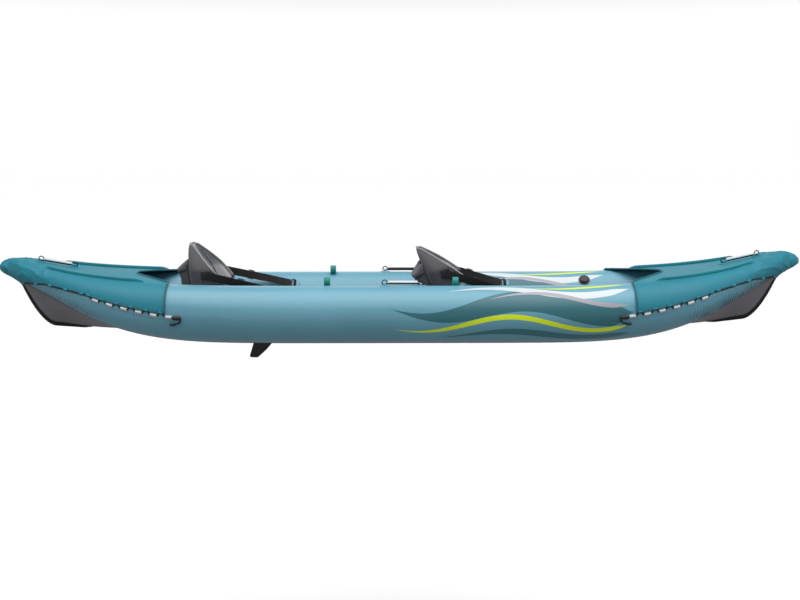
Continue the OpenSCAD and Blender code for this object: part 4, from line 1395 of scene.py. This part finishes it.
    def pouch_point(self, u: float, v: float, proud: float) -> Point:
        """A point of the pouch, or outside it.

        Args:
            u: Round the pouch, from 0 to 1; its outer side is the first half.
            v: Up the pouch, from 0 to 1.
            proud: Distance outside the pouch.

        Returns:
            The point.
        """
        depth = float(np.interp(v, (0, 0.05, 0.25, 0.6, 0.80, 1), (0, 0.036, 0.048, 0.056, 0.058, 0.004)))
        edge = min(1.0, 10 * v, 10 * (1 - v))
        swing = math.sin(2 * math.pi * u)
        crumple = self.pouch_crumple * noise.noise((u * 11.0, v * 7.0, self.ring_x * 3.0)) * edge
        back = (depth + crumple + proud) * math.sqrt(swing) if swing > 0 else 0.0
        wide = (self.pouch_half_w - self.pouch_taper * v + proud) * (0.94 + 0.06 * min(1.0, depth / 0.03))
        y, up = -wide * math.cos(2 * math.pi * u), self.pouch_low + self.pouch_h * v
        bend = min(1.0, abs(y) / (self.half_w * self.narrow(up))) ** 5
        fore = 1 - (1 - bend) ** 0.2
        return self.world(self.wing(up) * fore - self.back_t * (1 - fore) - self.pouch_gap - back, y, up)

    def pouch(self) -> None:
        """Builds the pouch behind the backrest, its flap and the flap's tape."""
        bag = wrap_grid(f"{self.word}_pouch_bag", (72, 40), lambda u, v: self.pouch_point(u, v, 0.0),
                        uv_size=(0.7, 0.2))
        SEAT_CLOTH.dress(bag)
        settle(bag, self.body, "seat_back_fabric", f"{self.word}_pouch")

        def over(u: float, v: float) -> Point:
            """A point of the flap, from its lower edge to the top."""
            low = 0.71 + 0.05 * math.cos(2 * math.pi * u) ** 2
            return self.pouch_point(0.003 + 0.494 * u, low + (0.985 - low) * v, self.flap_off)

        flap = wrap_grid(f"{self.word}_pouch_flap", (60, 16), over, uv_size=(0.4, 0.08), closed=False)
        apply_modifier(flap, "SOLIDIFY", thickness=self.flap_t, offset=0.0)
        SEAT_CLOTH.dress(flap)
        edge = [Vector(over(i / self.tape_steps, 0.0)) for i in range(self.tape_steps + 1)]
        tape = tube_along(f"{self.word}_pouch_tape", edge, self.pouch_tape_r, 8, up=(0.1, 0.2, 0.97))
        # Partly painted shade: the flap's edge tape is dark, which also stands for the shade under the
        # flap's edge
        SEAM_THREAD.dress(tape)
        for piece in (flap, tape):
            settle(piece, self.body, "seat_back_fabric")

    def base(self) -> None:
        """Builds the seat base as a stuffed cushion, swelled by a cloth simulation."""
        middle = self.hinge_x + self.base_len / 2 + self.base_fore
        levels = (-1.0, -0.5, 0.3, 0.75, 1.0)

        def place(u: float, v: float) -> Point:
            """A point of the cushion before it is stuffed.

            Args:
                u: Round the cushion, from 0 to 1.
                v: From its underside, 0, to its top, 1.

            Returns:
                The point.
            """
            turn = 2 * math.pi * u
            level = -math.cos(math.pi * v)
            full = float(np.interp(level, levels, (0.90, 0.99, 0.99, 0.95, 0.86)))
            spread = full * min(1.0, (math.sin(math.pi * v) * 3.2) ** 0.7)
            corner = [squared(c, self.corner_power) for c in (math.cos(turn), math.sin(turn))]
            return (middle + self.base_len / 2 * self.base_slim * spread * corner[0],
                    self.base_half_w * self.base_slim * spread * corner[1],
                    self.hinge_z - self.base_mid + level * self.base_half_t)

        cushion = wrap_grid(f"{self.word}_base_cushion", (120, 40), place, uv_size=(1.0, 0.4))
        self.stuff(cushion)
        self.channel(cushion, middle)
        SEAT_CLOTH_OBJECT.dress(cushion)
        settle(cushion, "hull", "seat_fabric", f"{self.word}_seat_base")
        rim = []
        for i in range(97):
            turn = 2 * math.pi * i / 96
            corner = [squared(c, self.corner_power) for c in (math.cos(turn), math.sin(turn))]
            rim.append(Vector((middle + self.base_len / 2 * self.rim_slim * corner[0],
                               self.base_half_w * self.rim_slim * corner[1], self.hinge_z - self.rim_drop)))
        tape = tube_along(f"{self.word}_base_tape", rim, self.base_tape_r, 8, up=(0, 0, 1))
        SEAT_EDGE.dress(tape)
        settle(tape, "hull", "seat_fabric")

    def stuff(self, cushion: bpy.types.Object) -> None:
        """Swells a cushion under pressure and keeps the result.

        Args:
            cushion: The cushion's mesh object.
        """
        before = np.array([v.co for v in cushion.data.vertices])
        activate(cushion)
        cloth = cushion.modifiers.new("cloth", "CLOTH")
        cloth.settings.use_pressure = True
        cloth.settings.uniform_pressure_force = self.pressure
        cloth.settings.effector_weights.gravity = 0.0
        cloth.point_cache.frame_start = 1
        cloth.point_cache.frame_end = self.frames
        for frame in range(1, self.frames + 1):
            bpy.context.scene.frame_set(frame)
        bpy.ops.object.modifier_apply(modifier=cloth.name)
        bpy.context.scene.frame_set(1)
        moved = np.array([v.co for v in cushion.data.vertices]) - before
        far = np.linalg.norm(moved, axis=1, keepdims=True)
        kept = before + moved * np.minimum(1.0, self.swell / np.maximum(far, 1e-9))
        kept[:, 2] = np.clip(kept[:, 2], self.hinge_z - self.base_t + 0.0006, self.hinge_z - 0.0004)
        cushion.data.vertices.foreach_set("co", kept.astype(np.float32).ravel())
        cushion.data.update()

    def channel(self, cushion: bpy.types.Object, middle: float) -> None:
        """Presses the sewn channels into a cushion's top.

        Args:
            cushion: The cushion's mesh object.
            middle: Where the cushion's middle is along the hull.
        """
        rows = [middle + shift for shift in (-self.channel_gap, 0.0, self.channel_gap)]
        for vertex in cushion.data.vertices:
            lift = ease(vertex.co.z, self.hinge_z - 0.03, self.hinge_z - 0.012)
            near = max(math.exp(-((vertex.co.x - row) / self.channel_half) ** 2) for row in rows)
            vertex.co.z -= self.channel_depth * lift * near
        cushion.data.update()

    def welt(self) -> None:
        """Builds the sewn roll that the backrest folds about."""
        half = self.base_half_w - self.welt_short
        path = [Vector((self.hinge_x, half * (2 * i / 24 - 1), self.hinge_z)) for i in range(25)]
        piece = tube_along(f"{self.word}_hinge_roll", path, self.welt_r, 16, up=(0, 0, 1))
        SEAT_CLOTH.dress(piece)
        settle(piece, "hull", "seat_back_fabric", f"{self.word}_seat_welt")

    def strap_ends(self) -> tuple[Vector, Vector]:
        """The port strap's middle at its wing and at its ring.

        Returns:
            The two points.
        """
        ring = Vector(SHAPE.on_tube(PORT, self.ring_x, RING_ANGLE))
        out = Vector((0, math.cos(math.radians(RING_ANGLE)), math.sin(math.radians(RING_ANGLE))))
        start = Vector(self.world(self.strap_fore, self.strap_y, self.strap_up))
        return start, ring + out * self.ring_off - Vector((self.ring_back, 0, 0))

    def strap_bend(self) -> tuple[Point, Point]:
        """Where the straps cease to follow the hull, and where they follow the backrest.

        Returns:
            The two points, on the centre plane.
        """
        start, finish = self.strap_ends()
        slack = start + (finish - start) * self.slack_share
        return (slack.x, 0.0, slack.z), (start.x, 0.0, start.z)

    def settle_bent(self, piece: bpy.types.Object) -> None:
        """Fixes a strap or a pair of buckles where it stands in the frame, and logs its faces.

        Args:
            piece: The finished mesh object.
        """
        self.body
        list(self.strap_bend())
        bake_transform(piece)
        LOG.info("%s: %d faces", piece.name, len(piece.data.polygons))

    def strap(self, side: int, word: str) -> None:
        """Builds one webbing strap.

        Args:
            side: PORT or STARBOARD.
            word: The side in words.
        """
        start, finish = self.strap_ends()
        run = (finish - start).normalized()

        def place(u: float, v: float) -> Point:
            """A point of the strap.

            Args:
                u: From the wing, 0, to the ring, 1.
                v: Round its flat section, from 0 to 1.

            Returns:
                The point.
            """
            tilt = math.radians(self.strap_twist * u)
            face = Vector((0, math.cos(tilt), -math.sin(tilt)))
            out = (face - run * run.dot(face)).normalized()
            wide = run.cross(out)
            turn = 2 * math.pi * v
            reach = 0.0 if u in (0.0, 1.0) else 1.0
            w = squared(math.cos(turn), 0.3) * self.strap_half * reach
            t = squared(math.sin(turn), 0.6) * self.strap_t * reach
            wave = self.strap_wave * noise.noise((u * 9.0, self.ring_x, 0.0))
            p = start + (finish - start) * u + wide * w + out * (t + wave)
            return (p.x, p.y * side, p.z)

        name = f"{self.word}_{word}_webbing"
        piece = wrap_grid(name, (90, 20), place, uv_size=((finish - start).length, 0.08))
        WEBBING.dress(piece)
        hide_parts(f"{self.word}_{word}_strap")
        self.settle_bent(piece)

    def build(self) -> None:
        """Builds the whole seat."""
        self.backrest()
        self.pouch()
        self.base()
        self.welt()
        for side, word in SIDES:
            self.strap(side, word)
        anchors = eased_copy(f"{self.word}_anchor_patches", f"{self.word}_strap_anchors", 0.0006)
        WEBBING_SEWN.dress(anchors)
        settle(anchors, self.body, "webbing")
        buckles = eased_copy(f"{self.word}_buckles", f"{self.word}_strap_buckles", 0.0007)
        BLACK_PLASTIC.dress(buckles)
        self.settle_bent(buckles)


@dataclass
class Fittings:
    """Handles, rings, welded patches, paddle keepers, valves, fin and fin box."""

    patch_r: float = 0.025
    patch_t: float = 0.0016
    handle_x: float = 0.009
    ring_span: float = 0.164
    deck_handle_x: float = 1.644
    deck_off: float = 0.0050
    bar_lift: float = 0.0072
    sleeve_r: float = 0.0050
    sheet_t: float = 0.0012
    rim_sink: float = 0.0012
    handle_sleeve: float = 0.010
    ring_sleeve: float = 0.030
    grip_ease: float = 0.0022
    pale_limit: float = -0.1
    painted_shade_share: float = 0.45

    def patch(self, name: str, seat: Surface, sleeve: float, across: bool) -> list[bpy.types.Object]:
        """Builds one welded patch and the webbing sleeve on it, laid on the surface below.

        Args:
            name: A name for the meshes.
            seat: Gives a surface point for distances along, round and off the surface.
            sleeve: Length of the sleeve.
            across: True where the sleeve lies across the hull.

        Returns:
            The patch and the sleeve.
        """
        def disc(u: float, v: float) -> Point:
            """A point of the patch.

            Args:
                u: Round the patch, from 0 to 1.
                v: From its middle, 0, to its thin rim, 1.

            Returns:
                The point.
            """
            turn, r = 2 * math.pi * u, self.patch_r * v
            off = self.patch_t * math.sqrt(max(0.0, 1 - v ** 10)) - self.rim_sink * v ** 10
            return seat(r * math.cos(turn), r * math.sin(turn), off)

        def loop(u: float, v: float) -> Point:
            """A point of the sleeve.

            Args:
                u: Along the sleeve, from 0 to 1.
                v: Over the ring's bar, from 0 to 1, down to the patch on both sides.

            Returns:
                The point.
            """
            way = sleeve * (u - 0.5)
            turn = math.pi * (1.5 * v - 0.25)
            flare, drop = (1.35, 1.5) if math.sin(turn) < 0 else (1.0, 1.0)
            side = self.sleeve_r * math.cos(turn) * flare
            off = self.bar_lift + self.sleeve_r * math.sin(turn) * drop
            return seat(side, way, off) if across else seat(way, side, off)

        sleeve_piece = wrap_grid(f"{name}_sleeve", (8, 24), loop, uv_size=(sleeve, 0.03), closed=False)
        thicken(sleeve_piece, self.sheet_t)
        disc_piece = wrap_grid(f"{name}_disc", (40, 10), disc, uv_size=(0.15, 0.025), closed=False)
        thicken(disc_piece, self.sheet_t)
        return [disc_piece, sleeve_piece]

    def tube_seat(self, side: int, x: float, angle: float) -> Surface:
        """A surface round one place on a chamber."""
        turn = math.degrees(1.0 / SHAPE.radius(x))
        return lambda a, b, off: SHAPE.on_tube(side, x + a, angle + b * turn, off)

    def deck_seat(self, x: float) -> Surface:
        """A surface round one place on the deck's middle line."""
        return lambda a, b, off: SHAPE.on_deck(x + a, b / SHAPE.centre_y(x + a), self.deck_off + off)

    def patches(self) -> None:
        """Builds all welded patches."""
        steps = (-self.ring_span / 2, self.ring_span / 2)
        side_made, deck_made, ring_made, sleeves = [], [], [], []
        for seat in [self.tube_seat(side, self.handle_x + step, 90) for side, _ in SIDES for step in steps]:
            side_made += self.patch("side_patch", seat, self.handle_sleeve, across=False)
        for x in [end * (self.deck_handle_x + step) for end in (BOW, STERN) for step in steps]:
            deck_made += self.patch("deck_patch", self.deck_seat(x), self.handle_sleeve, across=False)
        for seat in [self.tube_seat(side, x, RING_ANGLE) for side, _ in SIDES for x in RING_XS.values()]:
            disc, sleeve = self.patch("ring_patch", seat, self.ring_sleeve, across=True)
            ring_made.append(disc)
            sleeves.append(sleeve)
        for name, made, finish, slot, node in (
                ("side_handle_welds", side_made, PLAIN_PVC, "tube_pvc", "side_handle_patches"),
                ("deck_handle_welds", deck_made, COVER_OBJECT, "cover_fabric", "deck_handle_patches"),
                ("seat_ring_welds", ring_made, PLAIN_PVC, "tube_pvc", "seat_ring_patches")):
            piece = join(name, made)
            finish.dress(piece)
            settle(piece, "hull", slot, node)
        straps = join("seat_ring_sleeves", sleeves)
        WEBBING_SEWN.dress(straps)
        settle(straps, "hull", "webbing")

    def handles(self) -> None:
        """Eases the grips, pale on their outer side and black on the other, paints the starboard grip black
        below its waist as painted shade, and finishes the rings.
        """
        pale_sides = {"starboard": Vector((0, -0.8, 0.6)), "port": Vector((0, 0.8, 0.6)),
                      "bow": Vector((0, 0, 1)), "stern": Vector((0, 0, 1))}
        for place, pale_side in pale_sides.items():
            grip = eased_copy(f"{place}_grip", f"{place}_handle_grip", self.grip_ease)
            GRIP_PLASTIC.dress(grip)
            grip.data.materials.append(BLACK_PLASTIC.material())
            heights = [corner.co.z for corner in grip.data.vertices]
            painted_shade_top = min(heights) + self.painted_shade_share * (max(heights) - min(heights))
            for face in grip.data.polygons:
                pale = face.normal.dot(pale_side) > self.pale_limit
                # Painted shade: the starboard grip, the one facing the camera, is also painted black below
                # its waist
                if place == "starboard":
                    pale = pale and face.center.z > painted_shade_top
                face.material_index = 0 if pale else 1
            settle(grip, f"{place}_handle", "grip_plastic")
            BLACK_PLASTIC.dress(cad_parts[f"{place}_handle_rings"])

    def small_parts(self) -> None:
        """Eases the small moulded and sewn parts."""
        parts = [("keeper_loops", "paddle_keepers", 0.0008, KEEPER_CLOTH, "keeper_webbing", "hull"),
                 ("fin_blade", "fin", 0.0016, BLACK_PLASTIC, "black_plastic", "fin"),
                 ("fin_slide_box", "fin_box", 0.0010, BLACK_PLASTIC, "black_plastic", "hull")]
        for place in ("starboard", "port", "floor"):
            valve, cap = f"{place}_valve", f"{place}_valve_cap"
            parts += [(f"{valve}_seat", valve, 0.0010, BLACK_PLASTIC, "black_plastic", "hull"),
                      (f"{valve}_lid", cap, 0.0009, BLACK_PLASTIC, "black_plastic", cap)]
        for name, node, width, finish, slot, body in parts:
            piece = eased_copy(name, node, width)
            finish.dress(piece)
            settle(piece, body, slot)
        BLACK_PLASTIC.dress(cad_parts["seat_rings"])

    def build(self) -> None:
        """Builds all fittings."""
        self.patches()
        self.handles()
        self.small_parts()


@dataclass
class Studio:
    """The pale floor, the soft lights and the camera at the photograph's angle."""

    eye: Point = (-0.053, -5.57, 0.829)
    aim: Point = (0.0, 0.0, 0.157)
    lens: float = 52.2
    sensor: float = 36.0
    light_aim: Point = (0.0, 0.0, 0.2)
    floor_z: float = -1.9
    floor_size: float = 400.0
    floor_white: float = 0.99
    floor_rough: float = 0.9
    even_light: float = 2.6
    even_spread: float = 1.3
    even_tilt: float = 14.0

    @staticmethod
    def turn_to(holder: bpy.types.Object, place: Point, aim: Point) -> None:
        """Puts a camera or a light in its place and turns it to look at a point."""
        holder.location = place
        holder.rotation_euler = (Vector(aim) - Vector(place)).to_track_quat("-Z", "Y").to_euler()

    def camera(self) -> None:
        """Sets up the camera."""
        made = bpy.data.cameras.new("photo_camera")
        made.lens = self.lens
        made.sensor_width = self.sensor
        holder = hang("photo_camera", made)
        self.turn_to(holder, self.eye, self.aim)
        bpy.context.scene.camera = holder

    def light(self, name: str, place: Point, size: tuple[float, float], watts: float) -> None:
        """Hangs one soft box that looks at the boat.

        Args:
            name: The light's name.
            place: Where it hangs.
            size: Its width and height.
            watts: Its power.
        """
        lamp = bpy.data.lights.new(name, "AREA")
        lamp.shape = "RECTANGLE"
        lamp.size, lamp.size_y = size
        lamp.energy = watts
        self.turn_to(hang(name, lamp), place, self.light_aim)

    def sun(self) -> None:
        """Hangs one broad soft light that falls evenly on the boat and the whole floor."""
        lamp = bpy.data.lights.new("even_light", "SUN")
        lamp.energy = self.even_light
        lamp.angle = self.even_spread
        hang("even_light", lamp).rotation_euler = (math.radians(self.even_tilt), 0.0, 0.0)

    def sky(self) -> None:
        """Sets up the sky: white round the horizon, dimmer overhead and below."""
        world = bpy.data.worlds.new("studio")
        world.use_nodes = True
        tree = world.node_tree
        coords = add_node(tree, "ShaderNodeTexCoord")
        rise = add_node(tree, "ShaderNodeSeparateXYZ", {0: coords.outputs["Generated"]})
        above = add_node(tree, "ShaderNodeMapRange", {"Value": rise.outputs["Z"], "From Min": 0.12,
                                                      "From Max": 0.24, "To Min": 1.0, "To Max": 0.22})
        below = add_node(tree, "ShaderNodeMapRange", {"Value": rise.outputs["Z"], "From Min": -0.06,
                                                      "From Max": -0.02, "To Min": 0.30, "To Max": 1.0})
        glow = add_node(tree, "ShaderNodeMath", {0: above.outputs[0], 1: below.outputs[0]},
                        operation="MINIMUM")
        tree.links.new(glow.outputs[0], tree.nodes["Background"].inputs["Strength"])
        tree.nodes["Background"].inputs["Color"].default_value = (1.0, 1.0, 1.0, 1.0)
        bpy.context.scene.world = world
        bpy.context.scene.view_settings.view_transform = "Standard"

    def floor(self) -> None:
        """Lays the pale floor, which takes the shadow."""
        deselect()
        bpy.ops.mesh.primitive_plane_add(size=self.floor_size, location=(0, 0, self.floor_z))
        ground = bpy.context.active_object
        ground.name = "studio_floor"
        paint = bpy.data.materials.new("studio_paint")
        paint.use_nodes = True
        inputs = paint.node_tree.nodes["Principled BSDF"].inputs
        inputs["Base Color"].default_value = (self.floor_white, self.floor_white, self.floor_white, 1.0)
        inputs["Roughness"].default_value = self.floor_rough
        ground.data.materials.append(paint)
        # Light thrown back by the floor would flatten the shading of the chambers
        ground.visible_diffuse = ground.visible_glossy = False

    def build(self) -> None:
        """Builds the whole studio."""
        self.camera()
        self.sun()
        self.light("top_box", (0.0, -0.9, 3.2), (6.0, 1.4), 30.0)
        self.light("front_box", (0.0, -4.5, 3.0), (5.0, 1.0), 6.0)
        self.light("back_box", (0.0, 4.5, 2.2), (6.0, 1.2), 25.0)
        self.light("bow_box", (4.5, -1.5, 2.4), (2.0, 1.5), 16.0)
        self.sky()
        self.floor()


def main() -> None:
    """Builds the studio and every sub-assembly."""
    logging.basicConfig(level=logging.INFO, format="%(message)s")
    Studio().build()
    Hull().build()
    decks = [Deck(end, word) for end, word in ENDS]
    for deck in decks:
        deck.build()
    locks = join("lace_locks", [lock for deck in decks for lock in deck.locks()])
    BLACK_PLASTIC.dress(locks)
    settle(locks, "hull", "black_plastic", "cord_locks")
    Seat("rear", hinge_x=-0.960, lean=6.0).build()
    Seat("front", hinge_x=0.197, lean=22.0).build()
    Fittings().build()


if __name__ == "__main__":
    main()
